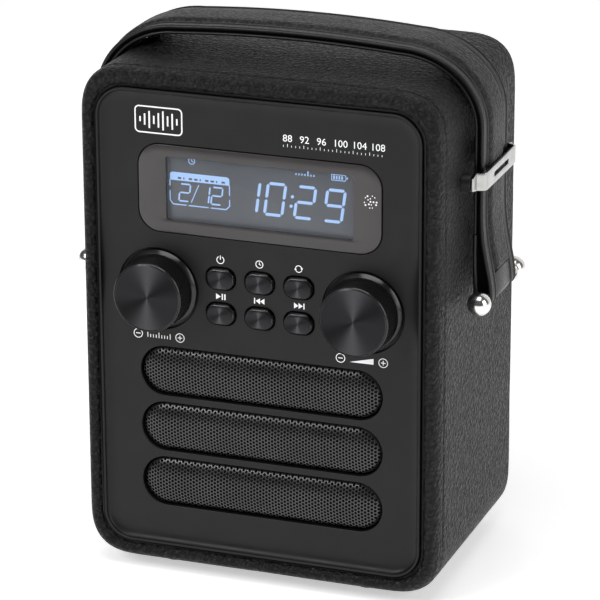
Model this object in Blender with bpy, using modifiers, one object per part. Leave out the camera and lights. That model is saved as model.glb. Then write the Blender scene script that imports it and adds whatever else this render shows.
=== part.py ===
"""Leather-covered portable radio: a display, two knobs, six buttons, a speaker and a strap that slides.

Metres, +Z up. The front faces -Y and +X is on the right as the front is seen. The origin is on the ground,
under the middle of the whole object. Run with: blender --background --python part.py
"""

import math

import bmesh
import bpy

# Driving dimensions
GAP = 0.0003
FOOT_H = 0.003
CASE_W = 0.116
CASE_D = 0.0785
CASE_H = 0.1603
CASE_R = 0.017
KNOB_PROUD = 0.007
LEATHER_T = 0.0012
LEATHER_EDGE = 0.003

# Planes from front to back
FRONT_Y = KNOB_PROUD - (CASE_D + KNOB_PROUD) / 2
BACK_Y = FRONT_Y + CASE_D
MID_Y = (FRONT_Y + BACK_Y) / 2
TOP_Z = FOOT_H + CASE_H
MID_Z = FOOT_H + CASE_H / 2

# Front panel: a dished plate with a coved border
PANEL_W = 0.1046
PANEL_H = 0.1486
PANEL_R = 0.0095
PANEL_RIM_Y = FRONT_Y + 0.0005
FACE_Y = FRONT_Y + 0.0025
PANEL_T = 0.003
PANEL_BACK_Y = FACE_Y + PANEL_T
PANEL_SKIRT = 0.0075
PANEL_Z = 0.0833
RIM_T = 0.0008
COVE_W = 0.0065

# Display
LENS_W = 0.0782
LENS_H = 0.0278
LENS_R = 0.007
LENS_Z = 0.1263
LENS_T = 0.0012
LCD_W = 0.0664
LCD_H = 0.0236
LCD_T = 0.0032

# Speaker and its grille
SLOT_W = 0.0793
SLOT_H = 0.0163
SLOT_Z = (0.0668, 0.04835, 0.02998)
SPEAKER_Z = 0.0482
SPEAKER_R = 0.0328
GRILLE_Y = PANEL_BACK_Y + GAP

# Knobs and their encoders
KNOB_X = 0.0333
KNOB_Z = 0.0937
KNOB_R = 0.0126
KNOB_GRIP_R = 0.0115
KNOB_TOP_R = 0.0112
KNOB_CAP_R = 0.0106
KNOB_SEAT_R = 0.0131
KNOB_SEAT_DEPTH = 0.001
SHAFT_R = 0.003

# Buttons: two rows of three
BUTTON_W = 0.0093
BUTTON_H = 0.0067
BUTTON_R = 0.0031
BUTTON_X = (-0.0127, 0.0, 0.0127)
BUTTON_ROWS = {"upper": 0.0993, "lower": 0.0879}
BUTTON_PROUD = 0.0014
SWITCH_T = 0.0022

# Strap, its pins and its keepers
STRAP_Y = MID_Y
STRAP_W = 0.025
STRAP_T = 0.003
STRAP_INSET = 0.00105
PAD_W = 0.0134
PAD_X = 0.06395
PAD_T = 0.00075
PAD_END_Z = 0.1012
ARCH_TOP_Z = 0.1731
ARCH_RISE = 0.0014
SHOULDER_W = 0.028
SHOULDER_H = 0.0245
FLARE_Z = 0.1235
INNER_END_Z = 0.107
LOOP_X = 0.0633
LOOP_Z = 0.0947
LOOP_R = 0.004
PIN_X = 0.0641
PIN_Z = 0.0939
PIN_R = 0.0014
BALL_R = 0.0037
BALL_SPAN = 0.0362
KEEPER_X = 0.0643
KEEPER_T = 0.0008
KEEPER_Z = 0.13205
KEEPER_H = 0.0065
KEEPER_HALF = 0.0155
KEEPER_TAB = 0.0045
KEEPER_SLOT_W = 0.015
KEEPER_SLOT_H = 0.0015
POST_Y = 0.0175
POST_R = 0.0028
POST_TOP_X = 0.0613

# Back: panel, sockets, battery
BACK_PANEL_T = 0.003
BACK_RECESS = 0.001
BACK_FACE_Y = BACK_Y - BACK_RECESS
BOARD_T = 0.0016
MAIN_BOARD_Y = BACK_FACE_Y - 0.0155
SOCKET_Z = 0.135
DOOR_W = 0.062
DOOR_H = 0.042
DOOR_Z = 0.042
DOOR_T = 0.0018
SCREW_X = 0.046
SCREW_Z = (0.0155, 0.1511)

CORNER_STEPS = 6
TURN_STEPS = 36


def fresh_collections():
    """An empty scene with one collection for the radio and one for its cutters."""
    for old in list(bpy.data.objects):
        bpy.data.objects.remove(old, do_unlink=True)
    made = []
    for name in ("leather_portable_radio", "cutters"):
        collection = bpy.data.collections.new(name)
        bpy.context.scene.collection.children.link(collection)
        made.append(collection)
    made[1].hide_render = True
    return made


RADIO, CUTTERS = fresh_collections()


def material(name, colour, roughness, metallic=0.0):
    made = bpy.data.materials.new(name)
    made.use_nodes = True
    shader = made.node_tree.nodes["Principled BSDF"]
    shader.inputs["Base Color"].default_value = (*colour, 1.0)
    shader.inputs["Roughness"].default_value = roughness
    shader.inputs["Metallic"].default_value = metallic
    made.diffuse_color = (*colour, 1.0)
    return made


LEATHER = material("black_leather", (0.028, 0.027, 0.027), 0.62)
STRAP_LEATHER = material("strap_leather", (0.024, 0.024, 0.024), 0.55)
FIBREBOARD = material("fibreboard", (0.32, 0.22, 0.13), 0.85)
PANEL_BLACK = material("panel_black", (0.022, 0.022, 0.023), 0.45)
KNOB_BLACK = material("knob_black", (0.015, 0.015, 0.016), 0.28)
SPUN_METAL = material("spun_black_metal", (0.05, 0.05, 0.052), 0.32, 0.9)
BUTTON_BLACK = material("button_black", (0.03, 0.03, 0.031), 0.35, 0.6)
SMOKED_LENS = material("smoked_lens", (0.06, 0.055, 0.055), 0.08)
LCD_GREY = material("lcd_grey", (0.11, 0.12, 0.14), 0.3)
DIFFUSER = material("white_diffuser", (0.85, 0.87, 0.9), 0.5)
MESH_STEEL = material("black_mesh_steel", (0.02, 0.02, 0.02), 0.5, 0.5)
SPEAKER_STEEL = material("speaker_steel", (0.35, 0.35, 0.36), 0.4, 0.9)
PAPER = material("speaker_paper", (0.03, 0.03, 0.03), 0.9)
FERRITE = material("ferrite", (0.05, 0.05, 0.055), 0.6)
BOARD_GREEN = material("board_green", (0.02, 0.14, 0.06), 0.5)
COMPONENT = material("component_black", (0.03, 0.03, 0.03), 0.5)
STEEL = material("steel", (0.6, 0.6, 0.62), 0.25, 1.0)
CHROME = material("chrome", (0.85, 0.85, 0.86), 0.08, 1.0)
BACK_BLACK = material("back_black", (0.025, 0.025, 0.026), 0.55)
CELL_BLUE = material("cell_blue", (0.05, 0.16, 0.4), 0.45)
RUBBER = material("rubber", (0.02, 0.02, 0.02), 0.85)
LEAD_RED = material("lead_red", (0.45, 0.03, 0.03), 0.5)


def place(obj, finish, collection):
    """Puts an object in a collection, and marks it as a cutter when it has no finish."""
    collection.objects.link(obj)
    if finish is None:
        obj.hide_render = True
        obj.display_type = "WIRE"
    else:
        obj.data.materials.append(finish)
    return obj


def mesh_object(name, bm, finish, location=(0, 0, 0), rotation=(0, 0, 0)):
    bmesh.ops.recalc_face_normals(bm, faces=bm.faces)
    mesh = bpy.data.meshes.new(name)
    bm.to_mesh(mesh)
    bm.free()
    mesh.shade_smooth()
    mesh.set_sharp_from_angle(angle=math.radians(35))
    obj = bpy.data.objects.new(name, mesh)
    obj.location = location
    obj.rotation_euler = rotation
    return place(obj, finish, CUTTERS if finish is None else RADIO)


def bevel(bm, edges, width, steps):
    bmesh.ops.bevel(
        bm, geom=edges, offset=width, offset_type="OFFSET", segments=steps, profile=0.5, affect="EDGES"
    )


def slab(name, finish, size, front, back, centre=(0, 0), radius=0.0, front_edge=0.0, back_edge=0.0,
         flatten=1.0, corner=CORNER_STEPS, edge=3):
    """A rounded rectangle, size wide and high, that runs along Y from front to back.

    front_edge and back_edge round its outline there. flatten makes those roundings flatter along Y. corner
    and edge are the steps in a rounded corner and in a rounded outline.
    """
    depth = (back - front) / flatten
    bm = bmesh.new()
    bmesh.ops.create_cube(bm, size=1.0)
    bmesh.ops.scale(bm, verts=bm.verts, vec=(size[0], depth, size[1]))
    bmesh.ops.translate(bm, verts=bm.verts, vec=(0, depth / 2, 0))
    if radius:
        along = [e for e in bm.edges if abs(e.verts[0].co.y - e.verts[1].co.y) > depth / 2]
        bevel(bm, along, radius, corner)
    for level, width in ((0.0, front_edge), (depth, back_edge)):
        if width:
            rim = [e for e in bm.edges if all(abs(v.co.y - level) < 1e-7 for v in e.verts)]
            bevel(bm, rim, width, edge)
    bmesh.ops.scale(bm, verts=bm.verts, vec=(1, flatten, 1))
    return mesh_object(name, bm, finish, (centre[0], front, centre[1]))


def box(name, finish, low, high):
    """A plain block between two corners."""
    size = (high[0] - low[0], high[2] - low[2])
    return slab(name, finish, size, low[1], high[1], ((low[0] + high[0]) / 2, (low[2] + high[2]) / 2))


def turned(name, finish, profile, location, towards="-Y", steps=TURN_STEPS):
    """A turned piece. The profile holds (radius, height) pairs, from the top of its outer side down."""
    bm = bmesh.new()
    points = [bm.verts.new((r, 0, h)) for r, h in profile]
    for a, b in zip(points, points[1:]):
        bm.edges.new((a, b))
    if profile[0][0] > 0:
        bm.edges.new((points[-1], points[0]))
    mesh = bpy.data.meshes.new(name)
    bm.to_mesh(mesh)
    bm.free()
    obj = bpy.data.objects.new(name, mesh)
    turn = math.pi / 2
    obj.rotation_euler = {
        "-Y": (turn, 0, 0), "+Y": (-turn, 0, 0), "+X": (0, turn, 0), "-X": (0, -turn, 0), "+Z": (0, 0, 0)
    }[towards]
    obj.location = location
    screw = obj.modifiers.new("turn", "SCREW")
    screw.angle = 2 * math.pi
    screw.steps = steps
    screw.render_steps = steps
    screw.use_merge_vertices = True
    screw.merge_threshold = 1e-6
    screw.use_smooth_shade = True
    return place(obj, finish, CUTTERS if finish is None else RADIO)


def cylinder(name, finish, radius, start, length, towards="-Y", steps=24):
    return turned(name, finish, [(0, length), (radius, length), (radius, 0), (0, 0)], start, towards, steps)


def cut(obj, *tools):
    for tool in tools:
        boolean = obj.modifiers.new("cut", "BOOLEAN")
        boolean.operation = "DIFFERENCE"
        boolean.object = tool
    return obj


def join(obj, *tools):
    for tool in tools:
        boolean = obj.modifiers.new("join", "BOOLEAN")
        boolean.operation = "UNION"
        boolean.object = tool
    return obj


def outline_solid(name, finish, outlines, width, centre_y):
    """A solid with the given XZ outlines (the first one outside, the rest holes), width thick along Y."""
    curve = bpy.data.curves.new(name, "CURVE")
    curve.dimensions = "2D"
    curve.fill_mode = "BOTH"
    curve.extrude = width / 2
    for points in outlines:
        spline = curve.splines.new("POLY")
        spline.points.add(len(points) - 1)
        for point, (x, z) in zip(spline.points, points):
            point.co = (x, z, 0, 1)
        spline.use_cyclic_u = True
    obj = bpy.data.objects.new(name, curve)
    obj.rotation_euler = (math.pi / 2, 0, 0)
    obj.location = (0, centre_y, 0)
    return place(obj, finish, RADIO)


def wire(name, finish, route, radius):
    """A lead along a smooth curve through its route's own points."""
    curve = bpy.data.curves.new(name, "CURVE")
    curve.dimensions = "3D"
    curve.bevel_depth = radius
    curve.bevel_resolution = 2
    curve.use_fill_caps = True
    points = smooth_route(route, 3)
    spline = curve.splines.new("POLY")
    spline.points.add(len(points) - 1)
    for point, place_at in zip(spline.points, points):
        point.co = (*place_at, 1)
    return place(bpy.data.objects.new(name, curve), finish, RADIO)


def smooth_route(route, steps):
    """Catmull-Rom points through the route."""
    ends = [route[0], *route, route[-1]]
    points = []
    for p0, p1, p2, p3 in zip(ends, ends[1:], ends[2:], ends[3:]):
        for step in range(steps):
            t = step / steps
            points.append(tuple(
                0.5 * (2 * b + (c - a) * t + (2 * a - 5 * b + 4 * c - d) * t**2
                       + (3 * b - a - 3 * c + d) * t**3)
                for a, b, c, d in zip(p0, p1, p2, p3)
            ))
    return [*points, route[-1]]


# ---- Case ----

def make_leather_wrap():
    skin = slab("leather_wrap", LEATHER, (CASE_W, CASE_H), FRONT_Y, BACK_Y, (0, MID_Z), CASE_R,
                LEATHER_EDGE, LEATHER_EDGE)
    inner = (CASE_W - 2 * LEATHER_T, CASE_H - 2 * LEATHER_T)
    hollow = slab("leather_hollow", None, inner, FRONT_Y + LEATHER_T, BACK_Y - LEATHER_T, (0, MID_Z),
                  CASE_R - LEATHER_T, LEATHER_EDGE - LEATHER_T, LEATHER_EDGE - LEATHER_T)
    mouth = slab("leather_mouth", None, (PANEL_W + 2 * GAP, PANEL_H + 2 * GAP), FRONT_Y - 0.01, BACK_Y + 0.01,
                 (0, PANEL_Z), PANEL_R + GAP)
    cut(skin, hollow, mouth)


def make_cabinet():
    skin = LEATHER_T + GAP
    outer = (CASE_W - 2 * skin, CASE_H - 2 * skin)
    sleeve = slab("cabinet_sleeve", FIBREBOARD, outer, FRONT_Y + skin, BACK_Y - skin, (0, MID_Z),
                  CASE_R - skin, LEATHER_EDGE - LEATHER_T, LEATHER_EDGE - LEATHER_T)
    bore = slab("sleeve_bore", None, (PANEL_W + 2 * GAP, PANEL_H + 2 * GAP), FRONT_Y - 0.01, BACK_Y + 0.01,
                (0, PANEL_Z), PANEL_R + GAP)
    cut(sleeve, bore)
    blocks = []
    holes = []
    back = BACK_FACE_Y - BACK_PANEL_T - GAP
    for x in (-SCREW_X, SCREW_X):
        for z in SCREW_Z:
            blocks.append(cylinder("screw_block", None, 0.0065, (x, back, z), 0.009, "-Y", 20))
            holes.append(cylinder("screw_block_hole", None, 0.0018, (x, back + 0.002, z), 0.0105, "-Y", 16))
    join(sleeve, *blocks)
    cut(sleeve, *holes)


def make_feet():
    for side, x in (("left", -0.0323), ("right", 0.0323)):
        for end, y in (("front", FRONT_Y + 0.0115), ("rear", BACK_Y - 0.0115)):
            height = FOOT_H - GAP
            dome = [(0.0053 * math.cos(a), height * (1 - math.sin(a))) for a in (0, 0.45, 0.85, 1.15)]
            profile = [(0, height), *dome, (0.0021, 0), (0, 0)]
            turned(f"foot_{end}_{side}", RUBBER, profile, (x, y, 0), "+Z", 18)


# ---- Front ----

def make_front_panel():
    panel = slab("front_panel", PANEL_BLACK, (PANEL_W, PANEL_H), PANEL_RIM_Y, PANEL_BACK_Y + PANEL_SKIRT,
                 (0, PANEL_Z), PANEL_R)
    inset = 2 * RIM_T
    dish = slab("panel_dish", None, (PANEL_W - inset, PANEL_H - inset), FACE_Y - 0.006, FACE_Y, (0, PANEL_Z),
                PANEL_R - RIM_T, 0, COVE_W, (FACE_Y - PANEL_RIM_Y) / COVE_W)
    hollow = slab("panel_hollow", None, (PANEL_W - 0.004, PANEL_H - 0.004), PANEL_BACK_Y,
                  PANEL_BACK_Y + 2 * PANEL_SKIRT, (0, PANEL_Z), PANEL_R - 0.002)
    floor = FACE_Y + LENS_T + 0.0001
    rebate = slab("lens_rebate", None, (LENS_W + 2 * GAP, LENS_H + 2 * GAP), FACE_Y - 0.01, floor,
                  (0, LENS_Z), LENS_R + GAP)
    window = slab("lcd_window", None, (LCD_W + 2 * GAP, LCD_H + 2 * GAP), FACE_Y - 0.01, PANEL_BACK_Y + 0.01,
                  (0, LENS_Z), 0.001)
    tools = [dish, hollow, rebate, window]
    for z in SLOT_Z:
        tools.append(slab("grille_slot", None, (SLOT_W, SLOT_H), FACE_Y - 0.01, PANEL_BACK_Y + 0.01, (0, z),
                          0.499 * SLOT_H))
    for x in (-KNOB_X, KNOB_X):
        seat_y = FACE_Y + KNOB_SEAT_DEPTH
        tools.append(cylinder("knob_seat", None, KNOB_SEAT_R, (x, seat_y, KNOB_Z), 0.01, "-Y", TURN_STEPS))
        tools.append(cylinder("shaft_hole", None, SHAFT_R + 0.0006, (x, seat_y + 0.01, KNOB_Z), 0.02))
    for z in BUTTON_ROWS.values():
        for x in BUTTON_X:
            tools.append(slab("button_hole", None, (BUTTON_W + 2 * GAP, BUTTON_H + 2 * GAP), FACE_Y - 0.01,
                              PANEL_BACK_Y + 0.01, (x, z), BUTTON_R + GAP, corner=3))
    cut(panel, *tools)


def make_display():
    face = FACE_Y - 0.0002
    slab("display_lens", SMOKED_LENS, (LENS_W, LENS_H), face, face + LENS_T, (0, LENS_Z), LENS_R, 0.0003)
    lcd = FACE_Y + LENS_T + 0.0001 + GAP
    slab("lcd_panel", LCD_GREY, (LCD_W, LCD_H), lcd, lcd + LCD_T, (0, LENS_Z), 0.0008)
    light = lcd + LCD_T + GAP
    slab("lcd_backlight", DIFFUSER, (LCD_W, LCD_H), light, light + 0.0015, (0, LENS_Z), 0.0008)


def make_speaker_grille():
    plate = slab("speaker_grille", MESH_STEEL, (0.088, 0.058), GRILLE_Y, GRILLE_Y + 0.0008,
                 (0, SLOT_Z[1]), 0.004)
    play = 0.0008
    wall = 0.0018
    size = (SLOT_W - play, SLOT_H - play)
    for z in SLOT_Z:
        bar = slab("grille_bar", None, size, FACE_Y - 0.0006, GRILLE_Y + 0.0004, (0, z),
                   0.499 * size[1], 0.0026)
        back = slab("grille_bar_back", None, (size[0] - 2 * wall, size[1] - 2 * wall), FACE_Y + 0.0005,
                    GRILLE_Y + 0.004, (0, z), 0.499 * (size[1] - 2 * wall))
        join(plate, bar)
        cut(plate, back)


def make_speaker():
    front = GRILLE_Y + 0.0008 + GAP
    place_at = (0, front, SPEAKER_Z)
    basket = [(0.0285, 0), (SPEAKER_R, 0), (SPEAKER_R, -0.002), (0.0295, -0.003), (0.019, -0.0175),
              (0.019, -0.0205), (0.0105, -0.0205), (0.0105, -0.0185), (0.0165, -0.0185), (0.0165, -0.0165),
              (0.0265, -0.0025)]
    turned("speaker_basket", SPEAKER_STEEL, basket, place_at, "-Y", 20)
    cone = [(0, -0.0065), (0.006, -0.0085), (0.009, -0.0115), (0.0235, -0.0022), (0.0248, -0.0008),
            (0.0261, -0.0008), (0.0261, -0.0014), (0.0250, -0.0018), (0.0240, -0.0032), (0.0092, -0.0125),
            (0.0092, -0.0165), (0.0082, -0.0165), (0.0082, -0.0125), (0.0054, -0.0095), (0, -0.0075)]
    turned("speaker_cone", PAPER, cone, place_at, "-Y", 20)
    magnet = [(0, -0.0208), (0.0165, -0.0208), (0.0165, -0.0305), (0.0155, -0.031), (0, -0.031)]
    turned("speaker_magnet", FERRITE, magnet, place_at, "-Y", 20)


def make_knobs():
    names = {"tuning": -KNOB_X, "volume": KNOB_X}
    front = FRONT_Y - KNOB_PROUD
    back = FACE_Y + KNOB_SEAT_DEPTH - GAP
    tall = back - front
    skirt = back - FACE_Y + 0.0012
    cap_seat = 0.0008
    for name, x in names.items():
        profile = [
            (0, tall - cap_seat), (KNOB_CAP_R + GAP, tall - cap_seat), (KNOB_CAP_R + GAP, tall),
            (KNOB_TOP_R - 0.0004, tall), (KNOB_TOP_R, tall - 0.0006), (KNOB_GRIP_R, skirt + 0.0012),
            (KNOB_GRIP_R + 0.0001, skirt + 0.001), (KNOB_R, skirt), (KNOB_R, 0),
            (SHAFT_R + GAP, 0), (SHAFT_R + GAP, 0.0065), (0, 0.0065),
        ]
        turned(f"{name}_knob", KNOB_BLACK, profile, (x, back, KNOB_Z))
        cylinder(f"{name}_knob_cap", SPUN_METAL, KNOB_CAP_R, (x, front + cap_seat - GAP, KNOB_Z),
                 cap_seat - GAP, "-Y", TURN_STEPS)
        tip = back - 0.0062
        shaft_end = PANEL_BACK_Y + 0.0035
        cylinder(f"{name}_shaft", STEEL, SHAFT_R, (x, shaft_end, KNOB_Z), shaft_end - tip)
        body = slab(f"{name}_encoder", STEEL, (0.0125, 0.0125), PANEL_BACK_Y + GAP, PANEL_BACK_Y + 0.0044,
                    (x, KNOB_Z), 0.001)
        cut(body, cylinder("encoder_bore", None, SHAFT_R + GAP, (x, PANEL_BACK_Y + 0.01, KNOB_Z), 0.02))


def make_buttons():
    columns = ("left", "middle", "right")
    for row, z in BUTTON_ROWS.items():
        for column, x in zip(columns, BUTTON_X):
            front = FACE_Y - BUTTON_PROUD
            flange = PANEL_BACK_Y + GAP
            stem = slab(f"button_{row}_{column}", BUTTON_BLACK, (BUTTON_W, BUTTON_H), front, flange + 0.0012,
                        (x, z), BUTTON_R, 0.0005, corner=3, edge=2)
            skirt = slab("button_flange", None, (BUTTON_W + 0.0016, BUTTON_H + 0.0016), flange,
                         flange + 0.0009, (x, z), BUTTON_R + 0.0004, corner=3)
            join(stem, skirt)


def make_control_board():
    front = PANEL_BACK_Y + 0.0047
    board = slab("control_board", BOARD_GREEN, (0.096, 0.06), front, front + BOARD_T, (0, 0.1145), 0.002)
    for z in BUTTON_ROWS.values():
        for x in BUTTON_X:
            top = front - SWITCH_T
            body = slab("switch_body", None, (0.006, 0.006), top, front + 0.0005, (x, z), 0.0008, corner=2)
            join(board, body)


# ---- Strap ----

def arch(inset):
    """XZ points of the strap's outer line, moved in by inset, from the left flare over to the right."""
    side = PAD_X - inset
    shoulder_w = SHOULDER_W - inset
    shoulder_h = SHOULDER_H - inset
    flat = side - shoulder_w
    top = ARCH_TOP_Z - ARCH_RISE - inset
    half = []
    for step in range(9):
        angle = math.pi / 2 * step / 8
        half.append((flat + shoulder_w * math.cos(angle), top - shoulder_h * (1 - math.sin(angle))))
    for step in range(1, 6):
        x = flat * (1 - step / 6)
        half.append((x, top + ARCH_RISE * (1 - (x / flat) ** 2)))
    middle = [(0, top + ARCH_RISE)]
    return [(-x, z) for x, z in half] + middle + [(x, z) for x, z in reversed(half)]


def flare(inset, low_z):
    """XZ points on the right where the strap swells towards its pin, from the top down to low_z."""
    steps = 8
    swell = LOOP_X + LOOP_R - (PAD_X - STRAP_INSET)
    points = []
    for step in range(steps + 1):
        z = FLARE_Z + (low_z - FLARE_Z) * step / steps
        t = (FLARE_Z - z) / (FLARE_Z - LOOP_Z)
        points.append((PAD_X - inset + swell * t**3 * (4 - 3 * t), z))
    return points


def make_strap():
    outer = STRAP_INSET
    inner = outer + STRAP_T
    loop = []
    for step in range(1, 10):
        angle = -math.pi * step / 9
        loop.append((LOOP_X + LOOP_R * math.cos(angle), LOOP_Z + LOOP_R * math.sin(angle)))
    right = flare(outer, LOOP_Z) + loop + [(PAD_X - inner, INNER_END_Z)]
    left = [(-x, z) for x, z in reversed(right)]
    outline = left[1:] + arch(outer) + right[:-1] + list(reversed(arch(inner)))
    holes = []
    for x in (-PIN_X, PIN_X):
        turn = [2 * math.pi * k / 16 for k in range(16)]
        hole_r = PIN_R + GAP
        holes.append([(x + hole_r * math.cos(a), PIN_Z + hole_r * math.sin(a)) for a in turn])
    outline_solid("handle_strap", STRAP_LEATHER, [outline, *holes], STRAP_W, STRAP_Y)
    ends = flare(0, PAD_END_Z)
    inside = flare(PAD_T, PAD_END_Z)
    mirrored = [(-x, z) for x, z in reversed(ends)]
    mirrored_inside = [(-x, z) for x, z in inside]
    pad = mirrored + arch(0) + ends + list(reversed(inside)) + list(reversed(arch(PAD_T))) + mirrored_inside
    outline_solid("strap_pad", STRAP_LEATHER, [pad], PAD_W, STRAP_Y)


def make_strap_pins():
    for side, x in (("left", -PIN_X), ("right", PIN_X)):
        half = BALL_SPAN / 2
        bore_end = 0.0022
        reach = half - BALL_R + bore_end - 2 * GAP
        cylinder(f"strap_pin_{side}", STEEL, PIN_R, (x, STRAP_Y + reach, PIN_Z), 2 * reach, "-Y", 16)
        for end, sign, towards in (("front", -1, "-Y"), ("rear", 1, "+Y")):
            dome = [(BALL_R * math.sin(a), BALL_R * math.cos(a)) for a in (i * math.pi / 8 for i in range(8))]
            low = dome[-1][1]
            socket = [(dome[-1][0], low - 0.0001), (PIN_R + GAP, low - 0.0001), (PIN_R + GAP, low + bore_end),
                      (0, low + bore_end)]
            turned(f"strap_ball_{end}_{side}", CHROME, [*dome, *socket], (x, STRAP_Y + sign * half, PIN_Z),
                   towards, 16)


def make_keepers():
    for side, sign in (("left", -1), ("right", 1)):
        tab_x = POST_TOP_X + GAP
        top_x = KEEPER_X
        half = [(tab_x, KEEPER_HALF + KEEPER_TAB), (tab_x, KEEPER_HALF), (top_x, KEEPER_HALF - 0.0004)]
        line = [(x, -y) for x, y in half] + [(x, y) for x, y in reversed(half)]
        bm = bmesh.new()
        low = [bm.verts.new((sign * x, STRAP_Y + y, KEEPER_Z - KEEPER_H / 2)) for x, y in line]
        edges = [bm.edges.new(pair) for pair in zip(low, low[1:])]
        raised = bmesh.ops.extrude_edge_only(bm, edges=edges)["geom"]
        bmesh.ops.translate(bm, verts=[g for g in raised if isinstance(g, bmesh.types.BMVert)],
                            vec=(0, 0, KEEPER_H))
        plate = mesh_object(f"keeper_{side}", bm, CHROME)
        thick = plate.modifiers.new("thickness", "SOLIDIFY")
        thick.thickness = KEEPER_T
        thick.offset = 1.0
        thick.use_even_offset = True
        cut(plate, keeper_slot(sign))
        for end, y in (("front", -POST_Y), ("rear", POST_Y)):
            foot_x = CASE_W / 2 + GAP
            cylinder(f"keeper_post_{end}_{side}", PANEL_BLACK, POST_R, (sign * foot_x, STRAP_Y + y, KEEPER_Z),
                     POST_TOP_X - foot_x, "+X" if sign > 0 else "-X", 20)


def keeper_slot(sign):
    """The long slot through a keeper's bridge."""
    bm = bmesh.new()
    bmesh.ops.create_cube(bm, size=1.0)
    bmesh.ops.scale(bm, verts=bm.verts, vec=(0.003, KEEPER_SLOT_W, KEEPER_SLOT_H))
    return mesh_object("keeper_slot", bm, None, (sign * (KEEPER_X + KEEPER_T / 2), STRAP_Y, KEEPER_Z))


# ---- Back ----

SOCKETS = {
    "usb_socket": (-0.030, 0.0145, 0.0071, 0.0125, 0.0051),
    "card_slot": (-0.006, 0.0152, 0.0034, 0.0128, 0.0016),
    "charge_socket": (0.034, 0.0092, 0.0046, 0.0076, 0.003),
}
JACK_X = 0.016
JACK_R = 0.0036
JACK_BORE_R = 0.0019
JACK_DEPTH = 0.0125


def make_back_panel():
    front = BACK_FACE_Y - BACK_PANEL_T
    panel = slab("back_panel", BACK_BLACK, (PANEL_W, PANEL_H), front, BACK_FACE_Y, (0, PANEL_Z), PANEL_R)
    tools = [
        slab("door_rebate", None, (DOOR_W, DOOR_H), BACK_FACE_Y - DOOR_T - GAP, BACK_FACE_Y + 0.01,
             (0, DOOR_Z), 0.003),
        slab("door_mouth", None, (DOOR_W - 0.005, DOOR_H - 0.005), front - 0.01, BACK_FACE_Y + 0.01,
             (0, DOOR_Z), 0.002),
        cylinder("jack_hole", None, JACK_R + GAP, (JACK_X, front - 0.01, SOCKET_Z), 0.03, "+Y"),
    ]
    for x, width, height, _, _ in SOCKETS.values():
        tools.append(slab("socket_hole", None, (width + 2 * GAP, height + 2 * GAP), front - 0.01,
                          BACK_FACE_Y + 0.01, (x, SOCKET_Z), 0.0008))
    for x in (-SCREW_X, SCREW_X):
        for z in SCREW_Z:
            tools.append(cylinder("screw_seat", None, 0.0034, (x, BACK_FACE_Y - 0.0015, z), 0.01, "+Y"))
            tools.append(cylinder("screw_way", None, 0.0019, (x, front - 0.01, z), 0.03, "+Y", 16))
    cut(panel, *tools)
    for name, x in (("left", -SCREW_X), ("right", SCREW_X)):
        for end, z in zip(("lower", "upper"), SCREW_Z):
            head = 0.0011
            profile = [(0, 0), (0.0022, 0), (0.0029, -0.0004), (0.0029, -head), (0.0015, -head),
                       (0.0015, -0.011), (0, -0.0118)]
            screw = turned(f"back_screw_{end}_{name}", STEEL, profile, (x, BACK_FACE_Y - 0.0001, z), "+Y", 14)
            cross = box("screw_cross", None, (x - 0.0014, BACK_FACE_Y - 0.0007, z - 0.0003),
                        (x + 0.0014, BACK_FACE_Y + 0.002, z + 0.0003))
            upright = box("screw_cross", None, (x - 0.0003, BACK_FACE_Y - 0.0007, z - 0.0014),
                          (x + 0.0003, BACK_FACE_Y + 0.002, z + 0.0014))
            cut(screw, cross, upright)


def make_sockets():
    front = MAIN_BOARD_Y + BOARD_T + GAP
    back = BACK_FACE_Y - 0.0003
    for name, (x, width, height, mouth_w, mouth_h) in SOCKETS.items():
        shell = slab(name, STEEL, (width, height), front, back, (x, SOCKET_Z), 0.0006)
        cut(shell, slab("socket_mouth", None, (mouth_w, mouth_h), front + 0.002, back + 0.01, (x, SOCKET_Z)))
    length = back - front
    profile = [(0, -JACK_DEPTH), (JACK_BORE_R, -JACK_DEPTH), (JACK_BORE_R, 0), (JACK_R, 0), (JACK_R, -length),
               (0, -length)]
    turned("headphone_socket", COMPONENT, profile, (JACK_X, back, SOCKET_Z), "+Y", 24)


def make_boards():
    board = slab("main_board", BOARD_GREEN, (0.092, 0.07), MAIN_BOARD_Y, MAIN_BOARD_Y + BOARD_T,
                 (0, 0.112), 0.002)
    chips = ((0.0, 0.105, 0.016, 0.016), (-0.026, 0.1, 0.01, 0.008), (0.027, 0.098, 0.008, 0.012))
    for x, z, width, height in chips:
        join(board, slab("chip", None, (width, height), MAIN_BOARD_Y - 0.0016, MAIN_BOARD_Y + 0.0005, (x, z)))


def make_battery():
    front = BACK_FACE_Y - 0.0195
    back = BACK_FACE_Y - BACK_PANEL_T - GAP
    wall = 0.0012
    outer = (DOOR_W - 0.003, DOOR_H - 0.003)
    tray = slab("battery_tray", BACK_BLACK, outer, front, back, (0, DOOR_Z), 0.003)
    cut(tray, slab("tray_hollow", None, (outer[0] - 2 * wall, outer[1] - 2 * wall), front + wall, back + 0.01,
                   (0, DOOR_Z), 0.002))
    slab("battery_pack", CELL_BLUE, (0.052, 0.034), front + wall + GAP, front + wall + 0.0115, (0, DOOR_Z),
         0.004, 0.001, 0.001, corner=3, edge=2)
    seat = BACK_FACE_Y - DOOR_T
    door = slab("battery_door", BACK_BLACK, (DOOR_W - 2 * GAP, DOOR_H - 2 * GAP), seat, BACK_FACE_Y,
                (0, DOOR_Z), 0.0027)
    for row in range(4):
        z = DOOR_Z + DOOR_H / 2 - 0.006 - row * 0.0022
        cut(door, box("door_groove", None, (-0.008, BACK_FACE_Y - 0.0006, z),
                      (0.008, BACK_FACE_Y + 0.002, z + 0.001)))


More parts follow.
